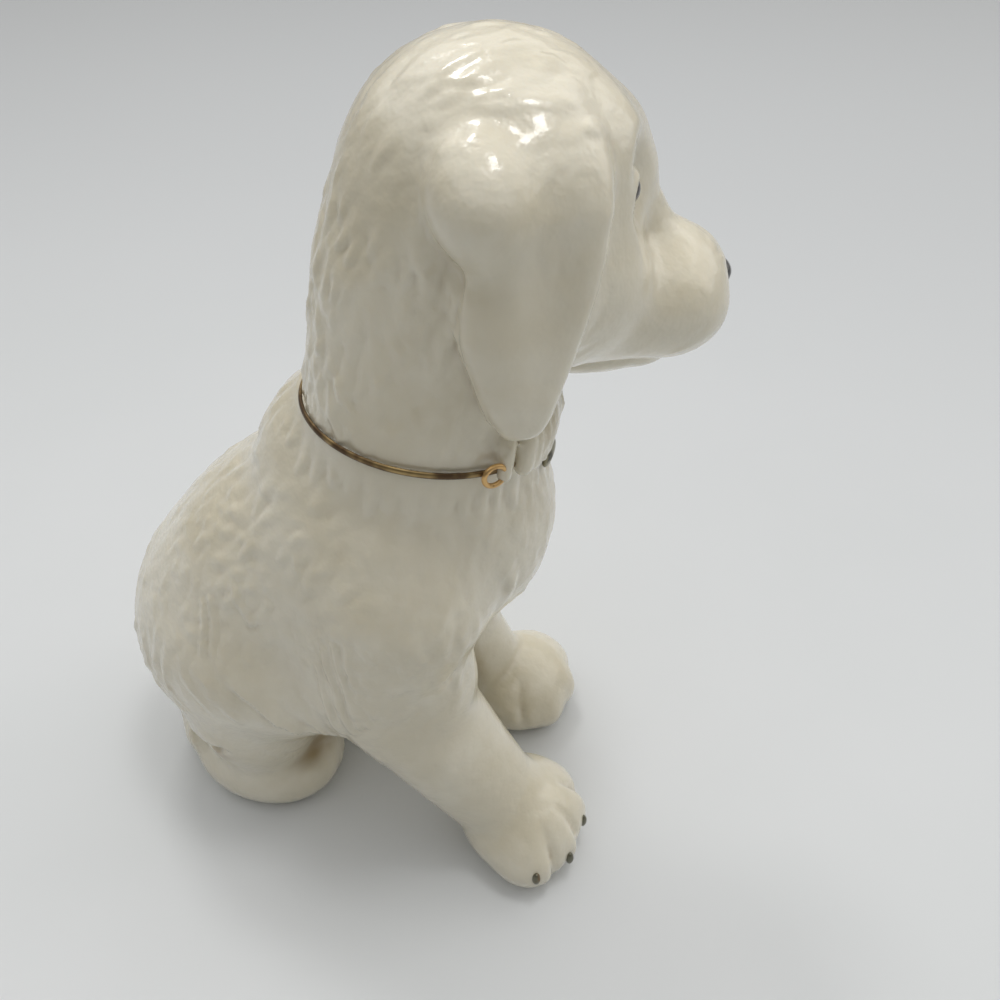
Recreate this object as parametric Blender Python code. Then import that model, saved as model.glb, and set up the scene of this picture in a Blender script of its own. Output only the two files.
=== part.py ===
"""Porcelain figurine of a sitting puppy, modelled the way it is made.

Body, head, ears, forelegs, hind feet and tail are separate castings that are luted
together before firing. Collar, ring, tag, claws, nose and eyes are small applied
pieces. Metres, +Z up. The puppy faces -Y, so its right side is at -X.
"""
import math

import bmesh
import bpy
from mathutils import Euler, Matrix, Vector
from mathutils.bvhtree import BVHTree

# Fits and facets
GAP = 0.0003                    # between pieces that touch
GROWTH_LIMIT = 1.5              # most that a sharp corner of a room moves, in gaps
SPECK = 0.000004                # edges shorter than this are closed up
ROUGH_VOXEL = 0.0014            # grain of the main masses
FINE_VOXEL = 0.0010             # grain of toes, lips and the small castings
BODY_EASE = 22                  # smoothing passes over the main masses
HEAD_EASE = 9
EAR_EASE = 9
TAIL_EASE = 6
FINE_EASE = 3
EASE_SHARE = 0.5                # how far one pass moves a point towards its neighbours
BALL_RINGS = 14                 # facets of the round ends of a limb
BALL_SIDES = 28
WIRE_SIDES = 6                  # facets round the wire of collar, ring and mouth line
COLLAR_STEPS = 48
MOUTH_STEPS = 40
RING_STEPS = 20
TAG_SIDES = 24
EDGE_STEPS = 2                  # facets of a rounded rim
SPIGOT_SIDES = 32
VENT_SIDES = 20
SMOOTH_TO = 40.0                # degrees: sharper edges stay sharp
BLOCK_SIDE = 0.2                # side of the blocks that cut the neck and the feet flat
ANCHOR_SIZE = 0.01              # drawn size of the empties
TORSO_FACETS = 3700
HEAD_FACETS = 2900
EAR_FACETS = 560
FOOT_FACETS = 480
TAIL_FACETS = 340

# Body: half sizes across, fore and aft, and up, and where each mass sits (y, z)
RUMP_HALF = (0.0270, 0.0265, 0.0280)
RUMP_AT = (0.0250, 0.0360)
SEAT_HALF = (0.0200, 0.0200, 0.0150)
SEAT_AT = (0.0255, 0.0120)
LOIN_HALF = (0.0258, 0.0262, 0.0262)
LOIN_AT = (0.0165, 0.0480)
FLANK_HALF = (0.0252, 0.0262, 0.0246)
FLANK_AT = (0.0072, 0.0583)
WITHERS_HALF = (0.0240, 0.0220, 0.0220)
WITHERS_AT = (-0.0030, 0.0730)
CHEST_HALF = (0.0200, 0.0180, 0.0220)
CHEST_AT = (-0.0154, 0.0720)
THIGH_HALF = (0.0120, 0.0205, 0.0175)
THIGH_OUT = 0.0175              # from the middle of the body to the middle of a thigh
THIGH_AT = (0.0160, 0.0400)
SHOULDER_HALF = (0.0095, 0.0140, 0.0220)
SHOULDER_OUT = 0.0190
SHOULDER_AT = (-0.0080, 0.0620)
SHOULDER_LEAN = 12.0            # degrees
VENT_RADIUS = 0.0022            # lets the air out in the kiln
VENT_DEPTH = 0.0060

# Neck and collar
COLLAR_AT = (-0.0122, 0.0940)   # y and z of the middle of the collar
COLLAR_TILT = 8.0               # degrees, higher at the back
COLLAR_ROLL = 6.0               # degrees, higher on the right
NECK_RADIUS = 0.0194
NECK_ROOT_AT = (-0.0090, 0.0830)
NECK_LAP = 0.0040               # how far both necks run past their seam before it is cut
COLLAR_THICKNESS = 0.0011
SPIGOT_RADIUS = 0.0120          # round tenon under the head, in its socket in the body
SPIGOT_LENGTH = 0.0070
RING_RADIUS = 0.0014
RING_WIRE = 0.0008
RING_BEARING = 48.0             # degrees round the collar from its front to the right side
RING_DROP = 0.0005              # below the band's middle line
TAG_HALF = (0.0023, 0.0007, 0.0026)
TAG_DROP = 0.0036               # from the band's middle line to the tag's middle
TAG_BEDDING = 0.0007            # how far its middle lies inside the band's outside
TAG_EDGE = 0.00035              # rounding of its rim

# Forelegs and paws
FORELEG_OUT = 0.0180
UPPER_ARM_AT = (-0.0120, 0.0660)
UPPER_ARM_RADIUS = 0.0132
ELBOW_AT = (-0.0055, 0.0460)
ELBOW_RADIUS = 0.0130
WRIST_HEIGHT = 0.0150
WRIST_BACK = 0.0060             # behind the middle of the paw
WRIST_RADIUS = 0.0105
RIGHT_PAW_AT = (-0.0185, -0.0328)
LEFT_PAW_AT = (0.0140, -0.0250)
RIGHT_PAW_HEADING = 4.0         # degrees outward from straight ahead
LEFT_PAW_HEADING = 25.0
PAW_HALF = (0.0123, 0.0123, 0.0095)
FOOT_SIT = 0.83                 # height of a foot's middle, as a share of its half height
TOE_HALF = (0.0043, 0.0070, 0.0066)
TOE_SIT = 0.95                  # the same for a toe
TOE_REACH = 0.88                # from the paw's middle, as a share of the toe's half length
TOES = 4
TOE_FAN = 40.0                  # degrees from one toe to the next
CLAW_HALF = (0.0009, 0.0017, 0.0011)
CLAW_SIT = 0.42                 # height of a claw, as a share of the toe's half height
CLAW_BEDDING = 0.45             # share of its half length that a claw sits under the skin
CLAW_SLOPE = 18.0               # degrees, tip down
SEAM_BELOW_ELBOW = 0.0085       # along the leg, where the foreleg is luted on
SEAM_RADIUS = 0.0134            # of the cut round the leg at the seam
SEAM_FORWARD = 0.0060           # how much farther the cut reaches in front of the leg
SEAM_SIDES = 24
CUT_WIDE = 0.0150               # reach of the cut under the paw, from the paw's middle
CUT_FRONT = 0.0265
CUT_BACK = 0.0160
CUT_BELOW = 0.0060              # below the floor

# Hind feet
HIND_OUT = 0.0150
HEEL_HALF = (0.0110, 0.0165, 0.0100)
HEEL_Y = 0.0265
HIND_TOES_OUT = 0.0128
HIND_TOES_Y = 0.0168
HIND_TOE_SHARE = 0.76           # size of a hind toe against a front one
HIND_HEADING = 14.0
HIND_TOE_FAN = 30.0

# Tail: a chain from the root round to the tip (x, y, z, radius)
TAIL_ROOT = (0.0000, 0.0450, 0.0090, 0.0060)
TAIL_BEND = (-0.0090, 0.0435, 0.0095, 0.0058)
TAIL_SIDE = (-0.0170, 0.0370, 0.0140, 0.0048)
TAIL_RISE = (-0.0218, 0.0320, 0.0195, 0.0040)
TAIL_TIP = (-0.0232, 0.0265, 0.0210, 0.0026)

# Head, measured from the point about which it is turned, before it is turned
HEAD_AT = (-0.0130, 0.0940)     # y and z of that point
HEAD_TURN = 25.0                # degrees to the puppy's left
HEAD_ROLL = 6.0                 # degrees, right ear higher
SKULL_HALF = (0.0212, 0.0218, 0.0205)
SKULL_AT = (-0.0105, 0.0330)
NAPE_RADIUS = 0.0182
NAPE_AT = (-0.0020, 0.0200)
CHEEK_HALF = (0.0100, 0.0130, 0.0110)
CHEEK_OUT = 0.0105
CHEEK_AT = (-0.0170, 0.0215)
BROW_HALF = (0.0075, 0.0070, 0.0075)
BROW_OUT = 0.0085
BROW_AT = (-0.0223, 0.0380)
BRIDGE_TOP = (0.0000, -0.0260, 0.0380, 0.0066)    # x, y, z and radius, from brow to nose
BRIDGE_STOP = (0.0000, -0.0302, 0.0300, 0.0050)
BRIDGE_LOW = (0.0000, -0.0340, 0.0232, 0.0048)
BRIDGE_END = (0.0000, -0.0390, 0.0186, 0.0054)
SOCKET_HALF = (0.0060, 0.0075, 0.0090)            # hollow beside the bridge that holds the eye
SOCKET_OUT = 0.0112
SOCKET_AT = (-0.0360, 0.0350)
MUZZLE_HALF = (0.0115, 0.0152, 0.0093)
MUZZLE_AT = (-0.0315, 0.0173)
FLEW_HALF = (0.0072, 0.0094, 0.0076)
FLEW_OUT = 0.0050
FLEW_AT = (-0.0363, 0.0142)
LIP_HALF = (0.0056, 0.0125, 0.0064)
LIP_OUT = 0.0075
LIP_AT = (-0.0275, 0.0152)
JAW_HALF = (0.0085, 0.0140, 0.0048)
JAW_AT = (-0.0260, 0.0084)
CHIN_HALF = (0.0078, 0.0075, 0.0049)
CHIN_AT = (-0.0320, 0.0084)
MOUTH_HALF = (0.0098, 0.0132)   # line between lip and jaw: half sizes across, fore and aft
MOUTH_AT = (-0.0270, 0.0094)
MOUTH_TILT = 5.0                # degrees, lower in front
MOUTH_CORNER = -0.0220          # y where it ends on each side
MOUTH_GROOVE = 0.0006           # radius of the groove
LIP_CLEFT_TOP = (-0.0464, 0.0150)                 # groove from the nose down to the mouth
LIP_CLEFT_FOOT = (-0.0436, 0.0078)
NOSE_HALF = (0.0036, 0.0026, 0.0028)
NOSE_BEDDING = 0.22             # share of its half depth that the nose sits under the skin
NOSE_FALL = 2.0                 # degrees the nose sits below the muzzle's middle line
EYE_RADIUS = 0.0024
EYE_BEDDING = 0.70              # share of its radius that an eye sits under the skin
EYE_OUT = 0.0102
EYE_AT = (-0.0264, 0.0340)

# Ears: the fold at the root, the hanging flap and its tip
EAR_ROOT_HALF = (0.0096, 0.0072, 0.0070)          # the round lobe at the back of the root
EAR_ROOT_LEAN = 34.0            # degrees
EAR_ROOT_AT = (0.0182, -0.0062, 0.0372)
EAR_FOLD_HALF = (0.0106, 0.0080, 0.0064)          # the lower shelf in front of it
EAR_FOLD_LEAN = 42.0
EAR_FOLD_AT = (0.0150, -0.0125, 0.0395)
EAR_FLAP_HALF = (0.0040, 0.0092, 0.0172)
EAR_FLAP_AT = (0.0219, -0.0110, 0.0262)
EAR_TIP_HALF = (0.0034, 0.0060, 0.0082)
EAR_TIP_AT = (0.0221, -0.0096, 0.0134)

# Colours (linear), roughness and metallic value of each finish
IVORY_GLAZE = ((0.72, 0.66, 0.53), 0.18, 0.0)
WARM_GLAZE = ((0.66, 0.59, 0.45), 0.20, 0.0)
GILT = ((0.62, 0.42, 0.16), 0.28, 1.0)
WORN_GILT = ((0.40, 0.33, 0.22), 0.40, 1.0)
SILVERED = ((0.24, 0.23, 0.22), 0.30, 0.6)
DARK_GLAZE = ((0.06, 0.05, 0.04), 0.12, 0.0)


def material(name, finish):
    """One Principled material from a colour, a roughness and a metallic value."""
    colour, roughness, metallic = finish
    made = bpy.data.materials.new(name)
    made.use_nodes = True
    shader = made.node_tree.nodes["Principled BSDF"]
    shader.inputs["Base Color"].default_value = (*colour, 1.0)
    shader.inputs["Roughness"].default_value = roughness
    shader.inputs["Metallic"].default_value = metallic
    made.diffuse_color = (*colour, 1.0)
    return made


def mid(at):
    """A point in the middle plane of the body or the head."""
    return Vector((0.0, at[0], at[1]))


def beside(side, out, at):
    """A point beside the middle plane: side is -1 on the right and 1 on the left."""
    return Vector((side * out, at[0], at[1]))


def ball(clay, centre, half, turn=(0.0, 0.0, 0.0), frame=None, fineness=3):
    """Adds an ellipsoid with its half sizes, turned in degrees about X, Y and Z."""
    angles = Euler([math.radians(angle) for angle in turn])
    matrix = Matrix.LocRotScale(Vector(centre), angles, Vector(half))
    if frame is not None:
        matrix = frame @ matrix
    bmesh.ops.create_icosphere(clay, subdivisions=fineness, radius=1.0, matrix=matrix)


def hull(clay, points):
    """Adds the closed shell round a set of points."""
    corners = [clay.verts.new(point) for point in points]
    result = bmesh.ops.convex_hull(clay, input=corners)
    inside = [item for item in result["geom_interior"] if isinstance(item, bmesh.types.BMVert)]
    bmesh.ops.delete(clay, geom=inside, context="VERTS")


def round_points(centre, radius):
    """Points spread over a ball."""
    points = [centre + Vector((0, 0, radius)), centre - Vector((0, 0, radius))]
    for ring in range(1, BALL_RINGS):
        slope = math.pi * ring / BALL_RINGS
        flat = radius * math.sin(slope)
        for side in range(BALL_SIDES):
            angle = math.tau * side / BALL_SIDES
            points.append(centre + Vector((flat * math.cos(angle), flat * math.sin(angle),
                                           radius * math.cos(slope))))
    return points


def limb(clay, start, start_radius, end, end_radius):
    """Adds a taper with round ends between two points."""
    hull(clay, round_points(Vector(start), start_radius) + round_points(Vector(end), end_radius))


def piece(name, clay):
    """Puts worked clay into an object of its own."""
    mesh = bpy.data.meshes.new(name)
    bmesh.ops.recalc_face_normals(clay, faces=clay.faces)
    clay.to_mesh(mesh)
    clay.free()
    made = bpy.data.objects.new(name, mesh)
    bpy.context.scene.collection.objects.link(made)
    return made


def settled(made):
    """Applies an object's modifiers."""
    graph = bpy.context.evaluated_depsgraph_get()
    mesh = bpy.data.meshes.new_from_object(made.evaluated_get(graph))
    made.modifiers.clear()
    made.data = mesh
    mesh.name = made.name
    return made


def eased(name, clay, voxel, smoothing):
    """Joins overlapping lumps into one skin and eases its creases."""
    made = piece(name, clay)
    skin = made.modifiers.new("skin", "REMESH")
    skin.mode = "VOXEL"
    skin.voxel_size = voxel
    ease = made.modifiers.new("ease", "SMOOTH")
    ease.factor = EASE_SHARE
    ease.iterations = smoothing
    return settled(made)


def taken_back(made):
    """Picks an object's skin up again as clay, to add finer lumps to it."""
    clay = bmesh.new()
    clay.from_mesh(made.data)
    bpy.data.objects.remove(made)
    return clay


def thinned(made, facets):
    """Thins a skin to about a number of facets, fewest where it is flat."""
    thin = made.modifiers.new("facets", "DECIMATE")
    thin.ratio = min(1.0, facets / (2.0 * len(made.data.polygons)))
    return settled(made)


def grown(made, by):
    """A copy that is larger all round by a clearance, to cut a neighbour with."""
    clay = bmesh.new()
    clay.from_mesh(made.data)
    clay.normal_update()
    steps = [by * min(vertex.calc_shell_factor(), GROWTH_LIMIT) for vertex in clay.verts]
    for vertex, step in zip(clay.verts, steps):
        vertex.co += vertex.normal * step
    return piece(made.name + "_room", clay)


def combine(made, tool, operation):
    """Cuts, trims or joins a piece with a tool, which is then put away."""
    step = made.modifiers.new("fit", "BOOLEAN")
    step.object = tool
    step.operation = operation
    step.solver = "EXACT"
    settled(made)
    bpy.data.objects.remove(tool)
    return made


def mended(made):
    """Closes the specks that cutting leaves where facets nearly meet, and the flaps of those."""
    clay = bmesh.new()
    clay.from_mesh(made.data)
    bmesh.ops.triangulate(clay, faces=clay.faces)
    bmesh.ops.remove_doubles(clay, verts=clay.verts, dist=SPECK)
    bmesh.ops.dissolve_degenerate(clay, edges=clay.edges, dist=SPECK)
    flaps = [face for face in clay.faces if any(edge.is_boundary for edge in face.edges)
             and any(len(edge.link_faces) > 2 for edge in face.edges)]
    bmesh.ops.delete(clay, geom=flaps, context="FACES")
    clay.to_mesh(made.data)
    clay.free()
    return made


def seat_in(host, guest):
    """Cuts the room for a guest piece out of its host, with the gap round it."""
    return combine(host, grown(guest, GAP), "DIFFERENCE")


def on_skin(host, start, towards, depth):
    """The point a set depth under a piece's skin, on the line from inside it to a guide point."""
    corners = [vertex.co for vertex in host.data.vertices]
    faces = [polygon.vertices for polygon in host.data.polygons]
    direction = (towards - start).normalized()
    place = BVHTree.FromPolygons(corners, faces).ray_cast(start, direction)[0]
    return place - direction * depth


def floor_block():
    """The block under the floor that leaves every foot flat."""
    clay = bmesh.new()
    drop = Matrix.Translation((0, 0, -BLOCK_SIDE / 2)) @ Matrix.Scale(BLOCK_SIDE, 4)
    bmesh.ops.create_cube(clay, size=1.0, matrix=drop)
    return piece("floor_block", clay)


def collar_frame():
    """Middle of the collar, with its Z axis along the neck."""
    tilt = Matrix.Rotation(math.radians(COLLAR_TILT), 4, "X")
    roll = Matrix.Rotation(math.radians(COLLAR_ROLL), 4, "Y")
    return Matrix.Translation(mid(COLLAR_AT)) @ tilt @ roll


def head_frame():
    """The point about which the head is turned, with the head's own axes."""
    turn = Matrix.Rotation(math.radians(HEAD_TURN), 4, "Z")
    roll = Matrix.Rotation(math.radians(HEAD_ROLL), 4, "Y")
    return Matrix.Translation(mid(HEAD_AT)) @ turn @ roll


def neck_block(name, above, lift):
    """A block that fills the space above or below the collar's plane."""
    clay = bmesh.new()
    side = 1.0 if above else -1.0
    shift = Matrix.Translation((0, 0, lift + side * BLOCK_SIDE / 2))
    bmesh.ops.create_cube(clay, size=1.0, matrix=collar_frame() @ shift @ Matrix.Scale(BLOCK_SIDE, 4))
    return piece(name, clay)


def plug(name, frame, radius, bottom, top, sides):
    """A round bar between two heights of a frame."""
    clay = bmesh.new()
    centre = Matrix.Translation((0, 0, (bottom + top) / 2))
    bmesh.ops.create_cone(clay, cap_ends=True, segments=sides, radius1=radius, radius2=radius,
                          depth=top - bottom, matrix=frame @ centre)
    return piece(name, clay)


def hoop(name, frame, half, wire, steps):
    """A closed wire round a frame's Z axis, along an ellipse with its half sizes."""
    clay = bmesh.new()
    rings = []
    for step in range(steps):
        around = math.tau * step / steps
        ring = []
        for side in range(WIRE_SIDES):
            angle = math.tau * side / WIRE_SIDES
            out = wire * math.cos(angle)
            point = Vector(((half[0] + out) * math.cos(around), (half[1] + out) * math.sin(around),
                            wire * math.sin(angle)))
            ring.append(clay.verts.new(frame @ point))
        rings.append(ring)
    for step in range(steps):
        here = rings[step]
        there = rings[(step + 1) % steps]
        for side in range(WIRE_SIDES):
            turn = (side + 1) % WIRE_SIDES
            clay.faces.new((here[side], there[side], there[turn], here[turn]))
    return piece(name, clay)


def paw_of(side):
    """Place on the floor and heading of a forepaw, in degrees from -Y towards -X."""
    if side < 0:
        return RIGHT_PAW_AT, RIGHT_PAW_HEADING
    return LEFT_PAW_AT, -LEFT_PAW_HEADING


def toe_directions(heading, fan):
    """Directions over the floor in which the toes of one foot point."""
    directions = []
    for toe in range(TOES):
        angle = math.radians(heading + (toe - (TOES - 1) / 2) * fan)
        directions.append((Vector((-math.sin(angle), -math.cos(angle), 0.0)), angle))
    return directions


def add_toes(clay, centre, heading, share, fan):
    """Toes fanned round the front of a foot."""
    for direction, angle in toe_directions(heading, fan):
        half = Vector(TOE_HALF) * share
        place = Vector((centre[0], centre[1], half.z * TOE_SIT)) + direction * half.y * TOE_REACH
        ball(clay, place, half, (0.0, 0.0, -math.degrees(angle)))


def wrist_of(side):
    """The narrow of the foreleg, just behind and above the paw."""
    (paw_x, paw_y), _ = paw_of(side)
    return Vector((paw_x, paw_y + WRIST_BACK, WRIST_HEIGHT))


def add_foreleg(clay, side):
    """Upper arm, forearm and the middle of the paw."""
    arm = beside(side, FORELEG_OUT, UPPER_ARM_AT)
    elbow = beside(side, FORELEG_OUT, ELBOW_AT)
    wrist = wrist_of(side)
    (paw_x, paw_y), _ = paw_of(side)
    limb(clay, arm, UPPER_ARM_RADIUS, elbow, ELBOW_RADIUS)
    limb(clay, elbow, ELBOW_RADIUS, wrist, WRIST_RADIUS)
    limb(clay, wrist, WRIST_RADIUS, (paw_x, paw_y, PAW_HALF[2] * FOOT_SIT), PAW_HALF[2])


def add_paw(clay, centre, heading, share, fan):
    """The round of a foot and its toes."""
    ball(clay, (*centre, PAW_HALF[2] * share * FOOT_SIT), Vector(PAW_HALF) * share)
    add_toes(clay, centre, heading, share, fan)


def body_clay():
    """Body and forelegs as one lump, before the forelegs are parted off."""
    clay = bmesh.new()
    ball(clay, mid(RUMP_AT), RUMP_HALF)
    ball(clay, mid(SEAT_AT), SEAT_HALF)
    ball(clay, mid(LOIN_AT), LOIN_HALF)
    ball(clay, mid(FLANK_AT), FLANK_HALF)
    ball(clay, mid(WITHERS_AT), WITHERS_HALF)
    ball(clay, mid(CHEST_AT), CHEST_HALF)
    neck_top = collar_frame() @ Vector((0, 0, NECK_LAP))
    limb(clay, mid(NECK_ROOT_AT), NECK_RADIUS, neck_top, NECK_RADIUS)
    for side in (-1, 1):
        ball(clay, beside(side, THIGH_OUT, THIGH_AT), THIGH_HALF)
        ball(clay, beside(side, SHOULDER_OUT, SHOULDER_AT), SHOULDER_HALF, (SHOULDER_LEAN, 0, 0))
        add_foreleg(clay, side)
    return clay


def leg_block(name, side, margin):
    """Wedge round a foreleg, from its seam with the body to below the floor."""
    elbow = beside(side, FORELEG_OUT, ELBOW_AT)
    wrist = wrist_of(side)
    along = (wrist - elbow).normalized()
    across = Vector((1, 0, 0))
    across = (across - along * across.dot(along)).normalized()
    fore = along.cross(across)
    if fore.y > 0:
        fore = -fore
    seam = elbow + along * (SEAM_BELOW_ELBOW + GAP - margin)
    points = []
    for step in range(SEAM_SIDES):
        angle = math.tau * step / SEAM_SIDES
        rim = across * math.cos(angle) + fore * math.sin(angle)
        reach = SEAM_FORWARD if math.sin(angle) > 0 else 0.0
        points.append(seam + rim * (SEAM_RADIUS + margin) + fore * reach)
    (paw_x, paw_y), _ = paw_of(side)
    for x in (-CUT_WIDE - margin, CUT_WIDE + margin):
        for y in (-CUT_FRONT - margin, CUT_BACK + margin):
            points.append(Vector((paw_x + x, paw_y + y, -CUT_BELOW)))
    clay = bmesh.new()
    hull(clay, points)
    return piece(name, clay)


def main_pieces():
    """The body and the two forelegs, parted at the elbows so that their skins run on."""
    clay = taken_back(eased("torso", body_clay(), ROUGH_VOXEL, BODY_EASE))
    for side in (-1, 1):
        add_paw(clay, *paw_of(side), 1.0, TOE_FAN)
    whole = thinned(eased("torso", clay, FINE_VOXEL, FINE_EASE), TORSO_FACETS)
    legs = []
    for side, name in ((-1, "right_foreleg"), (1, "left_foreleg")):
        leg = bpy.data.objects.new(name, whole.data.copy())
        bpy.context.scene.collection.objects.link(leg)
        combine(leg, leg_block("keep", side, 0.0), "INTERSECT")
        combine(leg, floor_block(), "DIFFERENCE")
        legs.append(leg)
    for side in (-1, 1):
        combine(whole, leg_block("part", side, GAP), "DIFFERENCE")
    return whole, legs


def hind_foot(name, side):
    """One hind foot: a long heel with toes that show under the thigh."""
    clay = bmesh.new()
    heading = -side * HIND_HEADING
    x = side * HIND_OUT
    ball(clay, (x, HEEL_Y, HEEL_HALF[2] * FOOT_SIT), HEEL_HALF, (0, 0, -heading))
    add_paw(clay, (side * HIND_TOES_OUT, HIND_TOES_Y), heading, HIND_TOE_SHARE, HIND_TOE_FAN)
    return thinned(eased(name, clay, FINE_VOXEL, FINE_EASE), FOOT_FACETS)


def tail_piece():
    """The tail, laid round the right of the rump with its tip over the hind foot."""
    clay = bmesh.new()
    chain = (TAIL_ROOT, TAIL_BEND, TAIL_SIDE, TAIL_RISE, TAIL_TIP)
    for start, end in zip(chain, chain[1:]):
        limb(clay, start[:3], start[3], end[:3], end[3])
    return thinned(eased("tail", clay, FINE_VOXEL, TAIL_EASE), TAIL_FACETS)


def eye_socket(side):
    """A round tool that hollows the face for one eye."""
    clay = bmesh.new()
    ball(clay, beside(side, SOCKET_OUT, SOCKET_AT), SOCKET_HALF, frame=head_frame())
    return piece("socket", clay)


def head_piece():
    """The head down to the collar, with its sockets and spigot."""
    clay = bmesh.new()
    frame = head_frame()
    ball(clay, mid(SKULL_AT), SKULL_HALF, frame=frame)
    neck_foot = collar_frame() @ Vector((0, 0, -NECK_LAP))
    limb(clay, frame @ mid(NAPE_AT), NAPE_RADIUS, neck_foot, NECK_RADIUS)
    ball(clay, mid(MUZZLE_AT), MUZZLE_HALF, frame=frame)
    bridge = (BRIDGE_TOP, BRIDGE_STOP, BRIDGE_LOW, BRIDGE_END)
    for start, end in zip(bridge, bridge[1:]):
        limb(clay, frame @ Vector(start[:3]), start[3], frame @ Vector(end[:3]), end[3])
    for side in (-1, 1):
        ball(clay, beside(side, CHEEK_OUT, CHEEK_AT), CHEEK_HALF, frame=frame)
        ball(clay, beside(side, BROW_OUT, BROW_AT), BROW_HALF, frame=frame)
    head = eased("head", clay, ROUGH_VOXEL, HEAD_EASE)
    for side in (-1, 1):
        combine(head, eye_socket(side), "DIFFERENCE")
    clay = taken_back(head)
    ball(clay, mid(JAW_AT), JAW_HALF, frame=frame)
    ball(clay, mid(CHIN_AT), CHIN_HALF, frame=frame)
    for side in (-1, 1):
        ball(clay, beside(side, FLEW_OUT, FLEW_AT), FLEW_HALF, frame=frame)
        ball(clay, beside(side, LIP_OUT, LIP_AT), LIP_HALF, frame=frame)
    head = thinned(eased("head", clay, FINE_VOXEL, FINE_EASE), HEAD_FACETS)
    combine(head, neck_block("below", False, GAP / 2), "DIFFERENCE")
    spigot = plug("spigot", collar_frame(), SPIGOT_RADIUS, -SPIGOT_LENGTH, SPIGOT_LENGTH,
                  SPIGOT_SIDES)
    return combine(head, spigot, "UNION")


def mouth_line(head):
    """Carves the line between lips and jaw round the muzzle, and the cleft up to the nose."""
    frame = head_frame()
    tilt = Matrix.Rotation(math.radians(MOUTH_TILT), 4, "X")
    middle = frame @ Matrix.Translation(mid(MOUTH_AT)) @ tilt
    groove = hoop("groove", middle, MOUTH_HALF, MOUTH_GROOVE, MOUTH_STEPS)
    clay = bmesh.new()
    behind = Matrix.Translation((0, MOUTH_CORNER + BLOCK_SIDE / 2, 0)) @ Matrix.Scale(BLOCK_SIDE, 4)
    bmesh.ops.create_cube(clay, size=1.0, matrix=frame @ behind)
    combine(groove, piece("behind", clay), "DIFFERENCE")
    combine(head, groove, "DIFFERENCE")
    clay = bmesh.new()
    limb(clay, frame @ mid(LIP_CLEFT_TOP), MOUTH_GROOVE, frame @ mid(LIP_CLEFT_FOOT), MOUTH_GROOVE)
    return combine(head, piece("cleft", clay), "DIFFERENCE")


def ear_piece(name, side):
    """One hanging ear: the lobe and the fold at its root, a flap and its rounded tip."""
    clay = bmesh.new()
    frame = head_frame()
    out = Vector((side, 1, 1))
    ball(clay, Vector(EAR_ROOT_AT) * out, EAR_ROOT_HALF, (0, side * EAR_ROOT_LEAN, 0), frame)
    ball(clay, Vector(EAR_FOLD_AT) * out, EAR_FOLD_HALF, (0, side * EAR_FOLD_LEAN, 0), frame)
    ball(clay, Vector(EAR_FLAP_AT) * out, EAR_FLAP_HALF, frame=frame)
    ball(clay, Vector(EAR_TIP_AT) * out, EAR_TIP_HALF, frame=frame)
    return thinned(eased(name, clay, FINE_VOXEL, EAR_EASE), EAR_FACETS)


def nose_piece(head):
    """The nose, pressed into the front of the muzzle."""
    clay = bmesh.new()
    frame = head_frame()
    fall = math.radians(NOSE_FALL)
    ahead = Vector((0, -math.cos(fall), -math.sin(fall)))
    start = mid(MUZZLE_AT)
    at = on_skin(head, frame @ start, frame @ (start + ahead), NOSE_HALF[1] * NOSE_BEDDING)
    ball(clay, frame.inverted() @ at, NOSE_HALF, (NOSE_FALL, 0, 0), frame, fineness=2)
    return piece("nose", clay)


def eye_piece(name, head, side):
    """One eye, set into the face under the brow."""
    clay = bmesh.new()
    frame = head_frame()
    towards = frame @ beside(side, EYE_OUT, EYE_AT)
    at = on_skin(head, frame @ mid(SKULL_AT), towards, EYE_RADIUS * EYE_BEDDING)
    ball(clay, at, (EYE_RADIUS,) * 3, fineness=2)
    return piece(name, clay)


def claws_of(name, foot, centre, heading, share, fan):
    """The claws of one foot, one in each toe tip, numbered from its right to its left."""
    made = []
    for direction, angle in toe_directions(heading, fan):
        clay = bmesh.new()
        half = Vector(CLAW_HALF) * share
        start = Vector((centre[0], centre[1], TOE_HALF[2] * share * CLAW_SIT))
        place = on_skin(foot, start, start + direction, half.y * CLAW_BEDDING)
        ball(clay, place, half, (CLAW_SLOPE, 0.0, -math.degrees(angle)), fineness=1)
        made.append(piece(f"{name}_{len(made) + 1}", clay))
    return made


def collar_piece():
    """The gilt band round the neck, over the seam of head and body."""
    reach = NECK_RADIUS + GAP
    return hoop("collar", collar_frame(), (reach, reach), COLLAR_THICKNESS / 2, COLLAR_STEPS)


def bearing_frame(bearing):
    """A point on the collar's outside, Z axis pointing outward, X axis along the band."""
    around = math.radians(bearing)
    spin = Matrix.Rotation(-around, 4, "Z")
    reach = NECK_RADIUS + GAP + COLLAR_THICKNESS / 2
    out = Matrix.Translation((0, -reach, 0)) @ Matrix.Rotation(math.radians(90), 4, "X")
    return collar_frame() @ spin @ out


def ring_piece():
    """The small ring that hangs on the collar below the right ear."""
    frame = bearing_frame(RING_BEARING) @ Matrix.Translation((0, -RING_DROP, RING_WIRE / 2 + GAP))
    return hoop("collar_ring", frame, (RING_RADIUS, RING_RADIUS), RING_WIRE / 2, RING_STEPS)


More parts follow.
